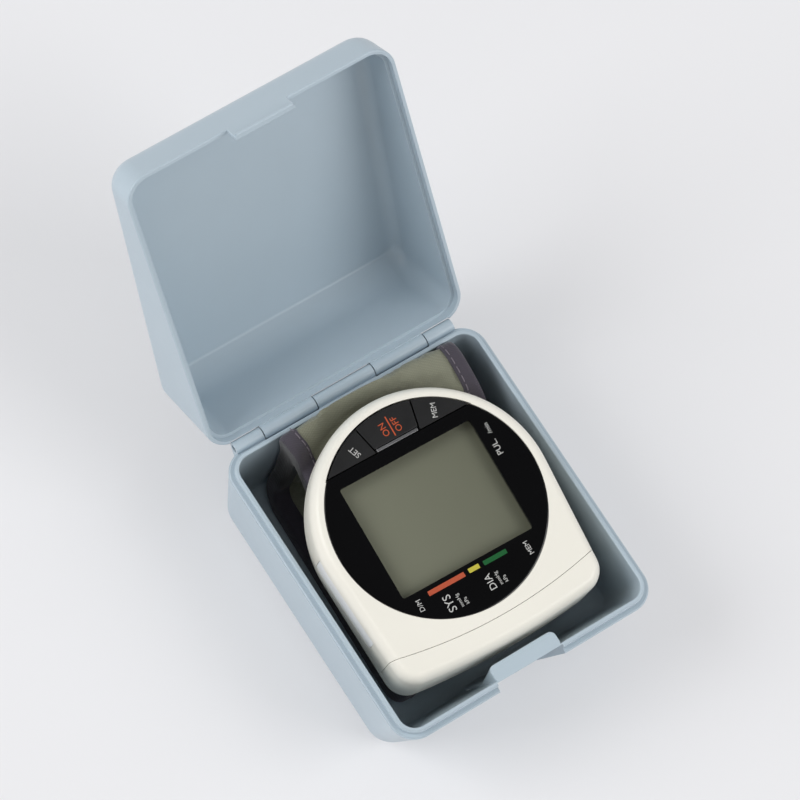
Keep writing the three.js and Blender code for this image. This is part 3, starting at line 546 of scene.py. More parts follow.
def makeCaseLid():
    rim = case["ledgeHeight"] + lid["rimGap"]
    wall, top, rimEdge = lid["wall"], lid["topEdge"], lid["rimEdge"]
    rebate = case["ledge"] - lid["lipRoom"]
    step = lipTop + lid["lipRoom"]
    rings = [lidInnerRing(*side, *rear) for side, rear in innerSteps()]
    rings += [lidRing(wall, step), lidRing(rebate, step), lidRing(rebate, rim)]
    rings += [lidRing(rimEdge * a, rim + rimEdge * b) for a, b in edgeSteps]
    rings += [lidRoofRing(top * a, top * b) for a, b in reversed(roundSteps)]
    body = ringSurface("caseLid", rings)
    half, thick, bead = latch["tabWidth"] / 2, latch["tabThickness"], latch["bead"]
    low = rim - latch["tabDrop"]
    tab = block("tab", -half, half, caseFront, caseFront + thick, low, rim + thick, latch["tabEdge"])
    join(body, tab, rodX("bead", bead, -half + bead, half - bead, caseFront, low + bead))
    pivot = Matrix.Translation((0, hingeY, hingeZ))
    opened = pivot @ rotation(-lid["openAngle"], "X") @ pivot.inverted()
    return settle(smooth(softenEdges(addHinge(body, lidBarrels, baseBarrels, 1), case["softening"])), opened)


casePlastic = plastic("casePlastic", case["colour"], 0.3, grain=0.35, grainScale=420, cloud=0.012,
                      polish=0.02)
finishPiece(makeCaseBase(), casePlastic, "case", "case_plastic", "case_base")
finishPiece(makeCaseLid(), casePlastic, "lid", "case_plastic", "case_lid")
print("storage case made")


# The monitor lies tilted on its cuff: u across, v towards its round end, w up from its face
stow = {"faceBack": 3.1, "faceHeight": 43.296, "tilt": 6.3, "turn": -1.5}
stowPlace = Matrix.Translation((0, stow["faceBack"], stow["faceHeight"])) @ rotation(stow["turn"], "Z")
monitorPlace = stowPlace @ rotation(stow["tilt"], "X")

housing = {
    "headRadius": 32.399, "frontReach": 38.599, "frontHalfWidth": 30.499, "cornerRadius": 6.5,
    "frontCrown": 220, "backLean": 7.15, "backDepth": 18.555, "backFrom": -6.521, "wall": 1.8,
    "topEdgeIn": 2.6, "topEdgeDown": 4.5, "backEdge": 3.4, "parting": 5, "partingGap": 0.3,
    "seamPlace": 31.999, "seamBow": 3.5, "seamGap": 0.12, "softening": 0.18, "seamSteps": 40,
    "headSteps": 72, "sideSteps": 16, "cornerSteps": 14, "frontSteps": 30, "edgeSteps": 12,
    "colour": rgb(240, 237, 226),
}
face = {
    "radius": 28.849, "thickness": 1, "edge": 0.22, "softening": 0.16, "room": 0.15,
    "seatTop": -1.3, "seatBottom": -2.9, "seatReach": 27.4, "windowWidth": 38.9,
    "windowHeight": 32.2, "windowShift": -0.3, "windowCorner": 0.7, "openingCorner": 0.5,
    "cornerSteps": 6, "paneLap": 1.05, "paneRoom": 0.3, "paneCorner": 0.4, "paneEdge": 0.08,
    "paneTint": (rgb(26, 28, 24), rgb(34, 36, 30)), "paneThickness": 1.2, "lcdLap": 2.1,
    "lcdCorner": 0.3, "lcdTop": -3.2, "lcdThickness": 1.6, "roundSteps": 160,
    "colour": rgb(15, 15, 16),
}
labelStrip = {
    "front": 22, "rear": 3, "top": 5.2, "bottom": 11.4, "depth": 0.6, "room": 0.15, "outside": 0.06,
    "thickness": 0.3, "corner": 0.8, "colour": rgb(244, 245, 246),
}
keys = {
    "chord": 19.5, "proud": 0.25, "thickness": 2.85, "gap": 0.3, "split": 0.4, "splitAtChord": 6.4,
    "splitAtRim": 8.5, "softening": 0.28, "barDepth": 0.8, "barLength": 12.2, "barGap": 0.2,
    "barEdge": 0.12, "arcSteps": 60, "colour": rgb(26, 26, 27), "barColour": rgb(150, 150, 152),
}
bay = {
    "end": 24.55, "wall": 1.2, "rear": -13.62, "front": -36.5, "top": -8.4, "edge": 0.2,
    "bossRight": 26.65, "bossBacks": (8, -9.221), "bossRadius": 2.9, "screwSink": 0.3,
    "screwRoom": 0.3,
}
screws = {
    "headRadius": 1.8, "headHeight": 1.1, "crownShare": 0.9, "shaftRadius": 1, "shaftLength": 5,
    "slot": 0.42, "slotDepth": 0.6, "headSides": 40, "shaftSides": 24,
}
bosses = [(side * bay["bossRight"], back) for side in (-1, 1) for back in bay["bossBacks"]]


def backAt(v, lift=0):
    lean = radians(housing["backLean"])
    return -housing["backDepth"] + (v - housing["backFrom"]) * tan(lean) + lift / cos(lean)


# The small front corners' middle, and the angles at which they meet the straight sides and the front
def housingCorner():
    right = housing["frontHalfWidth"] - housing["cornerRadius"]
    crownBack = housing["frontCrown"] - housing["frontReach"]
    back = crownBack - sqrt((housing["frontCrown"] - housing["cornerRadius"]) ** 2 - right ** 2)
    slack = acos((housing["headRadius"] - housing["cornerRadius"]) / hypot(right, back))
    return right, back, crownBack, atan2(back, right) + slack, atan2(back - crownBack, right)


def housingOutline(inset):
    right, back, crownBack, side, front = housingCorner()
    half = 2 * quarter
    small, crown = housing["cornerRadius"] - inset, housing["frontCrown"] - inset
    corner, steps = housing["cornerSteps"], housing["sideSteps"]
    headArc = arcPoints(0, 0, housing["headRadius"] - inset, side, half - side, housing["headSteps"])
    leftArc = arcPoints(-right, back, small, half - side, half - front, corner)[:-1]
    frontArc = arcPoints(0, crownBack, crown, half - front, 2 * half + front, housing["frontSteps"])
    rightArc = arcPoints(right, back, small, front, side, corner)[1:]
    leftSide = pointsBetween(headArc[-1], leftArc[0], steps)
    rightSide = pointsBetween(rightArc[-1], headArc[0], steps)
    return headArc + leftSide + leftArc + frontArc + rightArc + rightSide


def outlineRing(inset, height):
    return [(x, y, height(y) if callable(height) else height) for x, y in housingOutline(inset)]


def circleRing(radius, height):
    reaches = [(x, y, hypot(x, y)) for x, y in housingOutline(0)]
    return [(x / reach * radius, y / reach * radius, height) for x, y, reach in reaches]


def topEdgeRings(inset, drop):
    return [outlineRing(inset + housing["topEdgeIn"] * b, -(drop + housing["topEdgeDown"] * a))
            for a, b in quarterSteps(housing["edgeSteps"])]


def backEdgeRings(inset, edge):
    return [outlineRing(inset + edge * a, lambda y: backAt(y, inset) + edge * b)
            for a, b in quarterSteps(housing["edgeSteps"])]


# A closed body inside the housing's outer skin
def housingBody(inset):
    edge = max(housing["backEdge"] - inset, housing["backEdge"] / 4)
    return ringSurface("housingBody", backEdgeRings(inset, edge) + topEdgeRings(inset, inset))


def frontOfSeam(shift):
    reach = 2 * housing["headRadius"]
    seam = []
    for share in np.linspace(-1, 1, housing["seamSteps"] + 1):
        across = share * (housing["frontHalfWidth"] + 2 * overrun)
        bow = housing["seamBow"] * (across / housing["frontHalfWidth"]) ** 2
        seam.append((across, -housing["seamPlace"] + bow + shift))
    outline = [(seam[0][0], -reach), (seam[-1][0], -reach), *reversed(seam)]
    return prism("frontOfSeam", outline, -reach, reach)


def keyArea(grow):
    radius, chord = face["radius"] + grow, keys["chord"] - grow
    reach = asin(chord / radius)
    return arcPoints(0, 0, radius, reach, 2 * quarter - reach, keys["arcSteps"])


def windowOutline(lap, corner):
    half, rise, shift = face["windowWidth"] / 2 + lap, face["windowHeight"] / 2 + lap, face["windowShift"]
    return roundedRectangle(shift - half, shift + half, shift - rise, shift + rise, corner,
                            face["cornerSteps"])


def labelBlock(grow):
    reach, strip = housing["headRadius"], labelStrip
    return block("labelPlace", -2 * reach, -reach / 2, -strip["front"] - grow, strip["rear"] + grow,
                 -strip["bottom"] - grow, -strip["top"] + grow, strip["corner"])


def makeUpperShell():
    wall, recess, inner = housing["wall"], face["radius"] + face["room"], keys["chord"] / 2
    seatTop, seatBottom, reach = face["seatTop"], face["seatBottom"], face["seatReach"]
    low = lambda y: backAt(y, housing["parting"] + housing["partingGap"] / 2)
    rings = [outlineRing(wall, low), outlineRing(0, low), *topEdgeRings(0, 0)]
    rings += [circleRing(recess, 0), circleRing(recess, seatTop)]
    rings += [circleRing(inner, seatTop), circleRing(inner, seatBottom)]
    rings += [circleRing(reach, seatBottom), circleRing(reach, -wall)]
    rings += [outlineRing(wall + housing["topEdgeIn"], -wall)]
    rings += [outlineRing(wall, -wall - housing["topEdgeDown"])]
    body = ringSurface("frontHousing", rings, closed=True)
    windowPlace = windowOutline(face["paneLap"] + face["paneRoom"], face["openingCorner"])
    for outline in (windowPlace, keyArea(keys["gap"])):
        cut(body, prism("opening", outline, 2 * seatBottom, overrun))
    return cut(body, cut(labelBlock(labelStrip["room"]), housingBody(labelStrip["depth"])))


def makeHousings():
    upper = makeUpperShell()
    cover = duplicate(upper, "batteryCover")
    cut(upper, frontOfSeam(housing["seamGap"] / 2))
    keep(cover, frontOfSeam(-housing["seamGap"] / 2))
    return [smooth(softenEdges(shell, housing["softening"])) for shell in (upper, cover)]


def makeRearHousing():
    wall, edge = housing["wall"], housing["backEdge"]
    top = lambda y: backAt(y, housing["parting"] - housing["partingGap"] / 2)
    rings = backEdgeRings(0, edge) + [outlineRing(0, top), outlineRing(wall, top)]
    rings += reversed(backEdgeRings(wall, edge - wall))
    body = ringSurface("rearHousing", rings)
    deepest = 2 * backAt(-housing["frontReach"])
    end, side, rear = bay["end"], bay["end"] + bay["wall"], bay["rear"] + bay["wall"]
    plans = ((-side, side, bay["rear"]), (end, side, bay["front"]), (-side, -end, bay["front"]))
    inner = [block("bayWall", *plan, rear, deepest, bay["top"], bay["edge"]) for plan in plans]
    inner += [rodZ("boss", bay["bossRadius"], deepest, backAt(back, housing["parting"]), right, back)
              for right, back in bosses]
    join(body, keep(join(*inner), housingBody(wall / 2)))
    room = bay["screwRoom"]
    for right, back in bosses:
        sunk = backAt(back) + bay["screwSink"] + screws["headHeight"]
        cut(body, rodZ("screwPlace", screws["headRadius"] + room, deepest, sunk + room, right, back))
    return smooth(softenEdges(body, housing["softening"]))


def makeFacePlate():
    edge = face["edge"]
    slight = edge * bevelShare
    rings = []
    for inset, height in ((0, -face["thickness"]), (0, -edge), (slight, -slight), (edge, 0)):
        rings.append(ringAt(circlePoints(face["radius"] - inset, face["roundSteps"]), height))
    plate = ringSurface("facePlate", rings)
    for outline in (keyArea(keys["gap"] / 2), windowOutline(0, face["windowCorner"])):
        cut(plate, prism("opening", outline, -overrun, overrun))
    return smooth(softenEdges(plate, face["softening"], 3))


def keySide(sign, shift):
    far = 2 * face["radius"]
    slope = (keys["splitAtRim"] - keys["splitAtChord"]) / (face["radius"] - keys["chord"])
    near = keys["splitAtChord"] - slope * keys["chord"]
    points = [(sign * (near + shift), 0), (sign * (near + slope * far + shift), far),
              (sign * far * 2, far), (sign * far * 2, 0)]
    return prism("keySide", points[::-sign], -far, far)


def makeKeys():
    top = keys["proud"]
    low, half, far = top - keys["thickness"], keys["split"] / 2, 2 * face["radius"]
    barBack = keys["chord"] + keys["gap"] + keys["barDepth"]
    middle = prism("middleKey", keyArea(-keys["gap"] / 2), low, top)
    left = keep(duplicate(middle, "leftKey"), keySide(-1, half))
    right = keep(duplicate(middle, "rightKey"), keySide(1, half))
    cut(middle, keySide(1, -half), keySide(-1, -half), block("barArea", -far, far, 0, barBack, -far, far))
    bar = block("middleKeyBar", -keys["barLength"] / 2, keys["barLength"] / 2,
                keys["chord"] + keys["gap"] / 2, barBack - keys["barGap"], low, top, keys["barEdge"])
    return [smooth(softenEdges(key, keys["softening"], 3)) for key in (left, middle, right)] + [smooth(bar)]


def windowPlate(name, kind, low, top):
    outline = windowOutline(face[kind + "Lap"], face[kind + "Corner"])
    return smooth(softenEdges(prism(name, outline, low, top), face["paneEdge"]))


def makeLabel():
    strip = cut(housingBody(labelStrip["outside"]), housingBody(labelStrip["thickness"]))
    strip.name = "sideLabel"
    return smooth(keep(strip, labelBlock(0)))


# Printed words: place (u, v), cap height, turn from the common reading direction, body, print
legends = {
    "readingTurn": 90, "capShare": 0.69, "lift": 0.015, "thickness": 0.015,
    "words": [
        ("setWord", "SET", -11.3, 22.45, 1.48, 21, "set_button", "pale"),
        ("onWord", "ON", -1.6, 23.95, 1.65, 3, "on_off_button", "orange"),
        ("offWord", "OFF", 1.95, 23.8, 1.65, 3, "on_off_button", "orange"),
        ("memKeyWord", "MEM", 12.35, 22.25, 1.4, -19, "mem_button", "pale"),
        ("pulseWord", "PUL.", 21.9, 6.2, 1.6, 0, "monitor", "pale"),
        ("perMinuteWord", "/min", 22.3, 11.6, 1.2, -2, "monitor", "pale"),
        ("memWord", "MEM", 15.5, -20.3, 1.3, 3, "monitor", "pale"),
        ("lowWord", "DIA", 2.3, -23.3, 1.85, 0, "monitor", "pale"),
        ("lowUnitWord", "mmHg", 4.55, -23.4, 0.95, 0, "monitor", "pale"),
        ("lowOtherUnitWord", "kPa", 6.1, -24.3, 0.95, 0, "monitor", "pale"),
        ("highWord", "SYS", -9.75, -23.0, 2.15, 0, "monitor", "pale"),
        ("highUnitWord", "mmHg", -7.2, -23.55, 0.95, 0, "monitor", "pale"),
        ("highOtherUnitWord", "kPa", -5.65, -24.4, 0.95, 0, "monitor", "pale"),
        ("dateWord", "D/M", -16.7, -19.9, 1.3, -3, "monitor", "pale"),
    ],
    "wearScale": 2200, "wear": (0.35, 0.6), "wornShade": 0.86, "curveSteps": 4, "cornerSteps": 3,
    "barCorner": 0.15,
    "bars": [
        ("redBar", -13.4, -2.6, -18.3, 1.3, "red"),
        ("yellowBar", -1.3, 1.85, -18.2, 1.25, "yellow"),
        ("greenBar", 3.1, 10.0, -18.3, 1.25, "green"),
    ],
    "onOffLine": (0.2, 24.0, 0.32, 5.6), "lineCorner": 0.1,
    "inks": {
        "pale": rgb(196, 196, 193),
        "orange": rgb(198, 84, 42),
        "red": rgb(188, 82, 50),
        "yellow": rgb(196, 186, 62),
        "green": rgb(10, 96, 44),
    },
}


def makeInk(name, colour):
    material, tree, shader, where = newMaterial(name, Roughness=0.42)
    worn = between(tree, noise(tree, where, legends["wearScale"], 4, 0.65), 0, 1, *legends["wear"])
    feed(shader, Base_Color=blendColours(tree, worn, shade(colour, legends["wornShade"]), colour))
    return material


def makeWord(name, words, u, v, capHeight, turn, surface):
    curve = bpy.data.curves.new(name, "FONT")
    curve.body = words
    curve.size = capHeight / legends["capShare"]
    curve.align_x = "CENTER"
    curve.align_y = "CENTER"
    curve.extrude = legends["thickness"]
    curve.resolution_u = legends["curveSteps"]
    source = addObject(name + "Curve", curve)
    mesh = evaluatedMesh(source)
    bpy.data.objects.remove(source)
    mesh.transform(Matrix.Scale(mm, 4))
    place = monitorPlace @ Matrix.Translation((u, v, surface + legends["lift"]))
    return settle(addObject(name, mesh), place @ rotation(legends["readingTurn"] + turn, "Z"))


def makeBar(name, left, right, front, rear, corner, surface=0):
    middle, half = surface + legends["lift"], legends["thickness"]
    outline = roundedRectangle(left, right, front, rear, corner, legends["cornerSteps"])
    return settle(prism(name, outline, middle - half, middle + half), monitorPlace)


def makePrint():
    inks = {name: makeInk(name + "Ink", colour) for name, colour in legends["inks"].items()}
    for *word, body, ink in legends["words"]:
        surface = 0 if body == "monitor" else keys["proud"]
        finishPiece(makeWord(*word, surface), inks[ink], body, "label")
    for name, left, right, middle, height, ink in legends["bars"]:
        bar = makeBar(name, left, right, middle - height / 2, middle + height / 2, legends["barCorner"])
        finishPiece(bar, inks[ink], "monitor", "label")
    u, v, width, length = legends["onOffLine"]
    line = makeBar("onOffLine", u - width / 2, u + width / 2, v - length / 2, v + length / 2,
                   legends["lineCorner"], keys["proud"])
    finishPiece(line, inks["orange"], "on_off_button", "label")


# Coordinates along the monitor's own axes
def monitorAxes(tree, where):
    flat = result(tree, "ShaderNodeMapping", {"vector_type": "TEXTURE"}, Vector=where,
                  Location=monitorPlace.translation * mm, Rotation=monitorPlace.to_euler())
    return addNode(tree, "ShaderNodeSeparateXYZ", Vector=flat).outputs


# The display is a little darker to the right, and a painted shadow of the window's frame darkens it near its
# right and rear edges
lcd = {
    "right": 1.0, "rear": 0.6, "beyond": 1.3, "dark": 0.5, "spread": 0.02, "grainScale": 4000,
    "grainDepth": 0.01, "near": rgb(150, 152, 132), "far": rgb(134, 136, 117),
    # edge is the painted shadow's colour; right, rear and beyond say where the painted shadow fades in, and
    # dark is how much of the display's own colour is left under it
    "edge": rgb(30, 30, 27),
}


def makeLcdMaterial():
    material, tree, shader, where = newMaterial("lcdGlass", Roughness=0.28)
    axes = monitorAxes(tree, where)
    # Painted shadow of the window's frame along the display's right and rear edges
    frameShadows = []
    for axis, size, soft in ((axes[0], "windowWidth", lcd["right"]), (axes[1], "windowHeight", lcd["rear"])):
        far = face[size] / 2 + face["windowShift"] + lcd["beyond"]
        frameShadows.append(between(tree, axis, 1, lcd["dark"], (far - soft) * mm, far * mm))
    tone = between(tree, axes[0], 0, 1, -lcd["spread"], lcd["spread"])
    glass = blendColours(tree, tone, lcd["near"], lcd["far"])
    feed(shader, Base_Color=blendColours(tree, times(tree, *frameShadows), lcd["edge"], glass),
         Normal=bump(tree, noise(tree, where, lcd["grainScale"], 2), 0.05, lcd["grainDepth"]))
    return material


def makePaneMaterial():
    material, tree, shader, where = newMaterial("windowPane", Alpha=0.12, Roughness=0.05, IOR=1.49)
    feed(shader, Base_Color=blendColours(tree, noise(tree, where, 90), *face["paneTint"]))
    return material


housingPlastic = plastic("housingPlastic", housing["colour"], 0.36, grain=0.05, cloud=0.012)
faceGloss = plastic("faceGloss", face["colour"], 0.1, grain=0.02, cloud=0.05, polish=0.03, Coat_Weight=0.6,
                    Coat_Roughness=0.04)
keyPlastic = plastic("keyPlastic", keys["colour"], 0.5, grain=0.3, cloud=0.04)
barSilver = plastic("barSilver", keys["barColour"], 0.32, grain=0.05, Metallic=0.7)
labelPaper = plastic("labelPaper", labelStrip["colour"], 0.5, grain=0.1, grainScale=900, cloud=0.06)


def monitorPieces():
    front, cover = makeHousings()
    rear, plate = makeRearHousing(), makeFacePlate()
    left, middle, right, bar = makeKeys()
    top, lcdTop = face["seatTop"], face["lcdTop"]
    pane = windowPlate("displayWindow", "pane", top - face["paneThickness"], top)
    panel = windowPlate("lcdPanel", "lcd", lcdTop - face["lcdThickness"], lcdTop)
    return [
        (front, housingPlastic, "monitor", "housing_plastic", "front_housing"),
        (cover, housingPlastic, "battery_door", "housing_plastic", "battery_cover"),
        (rear, housingPlastic, "monitor", "housing_plastic", "rear_housing"),
        (plate, faceGloss, "monitor", "face_gloss", "face_plate"),
        (left, keyPlastic, "set_button", "key_plastic", "set_key"),
        (middle, keyPlastic, "on_off_button", "key_plastic", "on_off_key"),
        (right, keyPlastic, "mem_button", "key_plastic", "mem_key"),
        (bar, barSilver, "on_off_button", "silver_plastic", "on_off_key_bar"),
        (pane, makePaneMaterial(), "monitor", "window", "display_window"),
        (panel, makeLcdMaterial(), "monitor", "lcd", "lcd_panel"),
        (makeLabel(), labelPaper, "monitor", "label", "side_label"),
    ]


for piece, *finish in monitorPieces():
    finishPiece(settle(piece, monitorPlace), *finish)
makePrint()
print("monitor made")


# Batteries, their contacts and what else lies inside the housing
cells = {
    "length": 44.5, "radius": 5.25, "nub": 0.8, "nubRadius": 1.9, "shoulder": 0.7,
    "shoulderSteps": 6, "shoulderAt": 0.65,
    "nubProfile": ((0, -0.3), (0.1, -0.1), (0.3, 0), (0.8, 0), (0.85, 0.3)),
    "topProfile": ((0.8, -1.2), (0.65, -1)),
    "baseProfile": ((0, -1), (0.15, -1.1), (0.15, -3.6), (0.35, -3.8)), "backs": (-30.071, -19.221),
    "end": 23.55, "lift": 7.4, "sides": 56, "bandLength": 12, "steelEnd": 0.25, "scuffScale": 500,
    "scuffed": 0.12, "wearScale": 300, "polish": (0.24, 0.38), "wrap": rgb(48, 50, 56),
    "band": rgb(176, 120, 62), "scuff": rgb(150, 150, 150), "steel": rgb(190, 190, 192),
}


# Turned about an axis along u from a profile of (along, radius)
def makeCell(name, side, back):
    radius, soft, top = cells["radius"], cells["shoulder"], cells["shoulderAt"]
    far, shoulder = cells["length"] - cells["nub"], quarterSteps(cells["shoulderSteps"])
    profile = [(along, cells["nubRadius"] + out) for along, out in cells["nubProfile"]]
    profile += [(along, radius + out) for along, out in cells["topProfile"]]
    profile += [(top, radius - soft)]
    profile += [(top + soft * b, radius - soft * a) for a, b in shoulder]
    profile += [(far - soft * b, radius - soft * a) for a, b in reversed(shoulder)]
    profile += [(far + along, radius + out) for along, out in cells["baseProfile"]]
    height, rings = backAt(back, cells["lift"]), []
    for along, size in sorted((side * (cells["end"] - along), size) for along, size in profile):
        rings.append([(along, back + a, height + b) for a, b in circlePoints(size, cells["sides"])])
    return smooth(ringSurface(name, rings))


# A printed wrap with a band at one end, bare steel at both
def makeCellWrap():
    material, tree, shader, where = newMaterial("batteryWrap")
    along, back = monitorAxes(tree, where)[:2]
    isRear = calculate(tree, "GREATER_THAN", back, sum(cells["backs"]) / 2 * mm)
    turned = times(tree, along, between(tree, isRear, -1, 1, 0, 1))
    banded = calculate(tree, "GREATER_THAN", turned, (cells["end"] - cells["bandLength"]) * mm)
    size = calculate(tree, "ABSOLUTE", along)
    bare = calculate(tree, "GREATER_THAN", size, (cells["end"] - cells["nub"] - cells["steelEnd"]) * mm)
    worn = between(tree, noise(tree, where, cells["scuffScale"], 5, 0.7), 0, cells["scuffed"])
    printed = blendColours(tree, banded, cells["wrap"], cells["band"])
    scuffed = blendColours(tree, worn, printed, cells["scuff"])
    feed(shader, Base_Color=blendColours(tree, bare, scuffed, cells["steel"]), Metallic=bare,
         Roughness=between(tree, noise(tree, where, cells["wearScale"], 4), *cells["polish"]))
    return material


# A wound spring from a curve, with a round wire drawn along it
springs = {
    "turns": 3.5, "length": 2.3, "baseRadius": 2.7, "tipRadius": 1.3, "wire": 0.25, "plate": 23.85,
    "sunk": 0.3, "steps": 24, "sides": 10,
}


def makeSpringTree():
    tree, given = startTree("woundSpring", {
        "Turns": springs["turns"],
        "Length": springs["length"] * mm,
        "Base radius": springs["baseRadius"] * mm,
        "Tip radius": springs["tipRadius"] * mm,
        "Wire": springs["wire"] * mm,
    }, takesMesh=False)
    spiral = result(tree, "GeometryNodeCurveSpiral", Resolution=springs["steps"],
                    Rotations=given["Turns"], Start_Radius=given["Base radius"],
                    End_Radius=given["Tip radius"], Height=given["Length"])
    return finishTree(tree, wireAlong(tree, spiral, given["Wire"], springs["sides"]), given["Material"])


springMetal = plastic("springMetal", rgb(206, 202, 190), 0.28, grain=0.05, Metallic=1.0)
screwSteel = plastic("screwSteel", rgb(186, 188, 192), 0.3, grain=0.05, Metallic=1.0)


# The two cells lie head to tail, each with a spring at its flat end
def makeContacts():
    tree, wrap = makeSpringTree(), makeCellWrap()
    for place, side, back in zip(("front", "rear"), (-1, 1), cells["backs"]):
        cell = settle(makeCell(place + "Cell", side, back), monitorPlace)
        finishPiece(cell, wrap, "monitor", "battery_wrap", "battery_" + place)
        spring = addObject("contactSpring" + place.title(), bpy.data.meshes.new("spring"))
        foot = (-side * (springs["plate"] - springs["sunk"]), back, backAt(back, cells["lift"]))
        stand = Matrix.Translation(foot) @ Matrix.Rotation(side * quarter, 4, "Y")
        settle(runTree(spring, tree, springMetal), monitorPlace @ stand)
        finishPiece(spring, springMetal, "monitor", "spring_metal", "contact_spring_" + place)


# Cross-head screws, one copy on each point of the mesh that the tree is run on
def makeScrewTree():
    tree, given = startTree("crossHeadScrews", {
        "Head radius": screws["headRadius"] * mm,
        "Head height": screws["headHeight"] * mm,
        "Shaft radius": screws["shaftRadius"] * mm,
        "Shaft length": screws["shaftLength"] * mm,
        "Slot width": screws["slot"] * mm,
        "Slot depth": screws["slotDepth"] * mm,
    })
    wide, narrow = given["Head radius"], given["Slot width"]

    def boolean(operation, pieces, **first):
        node = addNode(tree, "GeometryNodeMeshBoolean", {"operation": operation, "solver": "EXACT"}, **first)
        for piece in pieces:
            feed(node, Mesh_2=piece)
        return node.outputs[0]

    def bar(x, y):
        size = result(tree, "ShaderNodeCombineXYZ", X=x, Y=y, Z=given["Slot depth"])
        return result(tree, "GeometryNodeMeshCube", Size=size)

    head = result(tree, "GeometryNodeMeshCone", Vertices=screws["headSides"], Depth=given["Head height"],
                  Radius_Bottom=wide, Radius_Top=times(tree, wide, screws["crownShare"]))
    shaft = result(tree, "GeometryNodeMeshCylinder", Vertices=screws["shaftSides"],
                   Radius=given["Shaft radius"], Depth=given["Shaft length"])
    raised = result(tree, "ShaderNodeCombineXYZ", Z=times(tree, given["Shaft length"], 0.5))
    shaft = result(tree, "GeometryNodeTransform", Geometry=shaft, Translation=raised)
    whole = boolean("UNION", [head, shaft])
    slotted = boolean("DIFFERENCE", [bar(wide, narrow), bar(narrow, wide)], Mesh_1=whole)
    copies = result(tree, "GeometryNodeInstanceOnPoints", Points=given["Geometry"], Instance=slotted)
    return finishTree(tree, copies, given["Material"])


def makeScrews():
    sunk = bay["screwSink"]
    places = [(x, back, backAt(back) + sunk + screws["headHeight"] / 2) for x, back in bosses]
    made = smooth(runTree(makeMesh("housingScrews", places), makeScrewTree(), screwSteel))
    names = ["housing_screw_" + str(number + 1) for number in range(len(places))]
    finishPiece(settle(made, monitorPlace), screwSteel, "monitor", "steel", *names)


board = {
    "trackScale": 260.0, "trackGap": 0.035, "trackDepth": 0.02, "padScale": 420.0,
    "padEdge": (0.12, 0.17), "tracks": (rgb(28, 92, 52), rgb(24, 80, 46), rgb(74, 138, 84)),
    "pads": rgb(196, 186, 150),
}


def makeBoardMaterial():
    material, tree, shader, where = newMaterial("solderMask", Roughness=0.38)
    light, dark, line = board["tracks"]
    tracks = addNode(tree, "ShaderNodeTexBrick", Vector=where, Scale=board["trackScale"], Color1=light,
                     Color2=dark, Mortar=line, Mortar_Size=board["trackGap"], Bias=0.0)
    pads = result(tree, "ShaderNodeTexVoronoi", {"feature": "F1"}, Vector=where, Scale=board["padScale"])
    onPad = between(tree, pads, 1, 0, *board["padEdge"])
    feed(shader, Base_Color=blendColours(tree, onPad, tracks.outputs["Color"], board["pads"]),
         Normal=bump(tree, tracks.outputs["Fac"], 0.2, board["trackDepth"]))
    return material


# The rest of the inside keeps the frame's own solids and gets a finish
inside = {
    "innerPlastic": (rgb(52, 54, 58), 0.5, {"grain": 0.3}),
    "whitePlastic": (rgb(221, 220, 214), 0.45, {"grain": 0.15}),
    "siliconeRubber": (rgb(60, 61, 64), 0.75, {"grain": 0.4, "grainScale": 1500}),
    "motorSteel": (rgb(170, 172, 176), 0.32, {"grain": 0.1, "Metallic": 1.0}),
}


def dress(material, *names):
    for name in names:
        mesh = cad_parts[name].data
        mesh.materials.clear()
        mesh.materials.append(material)


def dressNodes():
    finishes = [plastic(name, colour, rough, **more) for name, (colour, rough, more) in inside.items()]
    dark, white, rubber, motor = finishes
    dress(dark, "lcd_holder", "air_valve", "pressure_sensor", "buzzer", "cuff_stiffener")
    dress(white, "pump_head", "air_port")
    dress(rubber, "key_mat", "air_hose")
    dress(motor, "pump_motor", "hinge_pin")
    dress(springMetal, "contact_link", "contact_plate_front", "contact_plate_rear")
    dress(makeBoardMaterial(), "circuit_board")


makeContacts()
makeScrews()
dressNodes()
print("inside made")


# Cuff: a padded band closed to a loop about an axis along the hinge, leaning a little sideways
cuff = {
    "front": -32.999, "rear": 36.599, "bottom": -40.596, "topFront": -26.296, "topRear": -9.651,
    "radii": (6.8, 9, 6, 6.8), "thickness": 5.2, "left": -21.3, "right": 30.6, "lean": 0.22,
    "tape": 0.6, "tapeWidth": 4.4, "tapeBend": 1.6, "tapeBendFrom": 0.2, "tapeBendSteps": 5,
    # The sizes that start and fade the tape's darkening, across the tape and above the floor run, and the
    # near-black colour at the end, are a painted shade on its inner side
    "tapeEdgeIn": 0.3, "tapeEdge": 0.12, "shadeFrom": 0.7, "shadeFade": 1.2, "shadeAbove": 8,
    "shadeRise": 6, "underTape": 0.75, "puff": 0.5, "innerPuff": 0.8, "puffReach": 4.5,
    "puffUnder": 0.6, "edgeIn": 0.7, "tapeSmoothing": 50, "padSmoothing": 60, "cornerSteps": 14,
    "runSteps": (52, 30, 90, 10), "acrossSteps": 46, "fabric": rgb(134, 135, 117),
    "lining": rgb(76, 72, 80), "binding": rgb(72, 67, 77), "insideShade": rgb(20, 19, 22),
}
# Behind the monitor's round end the cloth swells up against the case's rear wall
crown = {
    "top": -2.4, "frontTop": -5.4, "rear": 38.3, "behind": 1.45, "room": 1.3, "from": -26,
    "rise": 10, "bendShare": 3.2, "runIn": 1.5, "until": 12, "skin": 1, "leftFlare": 2.4,
    "rightFlare": 1, "flareBelow": 9, "flareRise": 14, "rounding": 3,
}
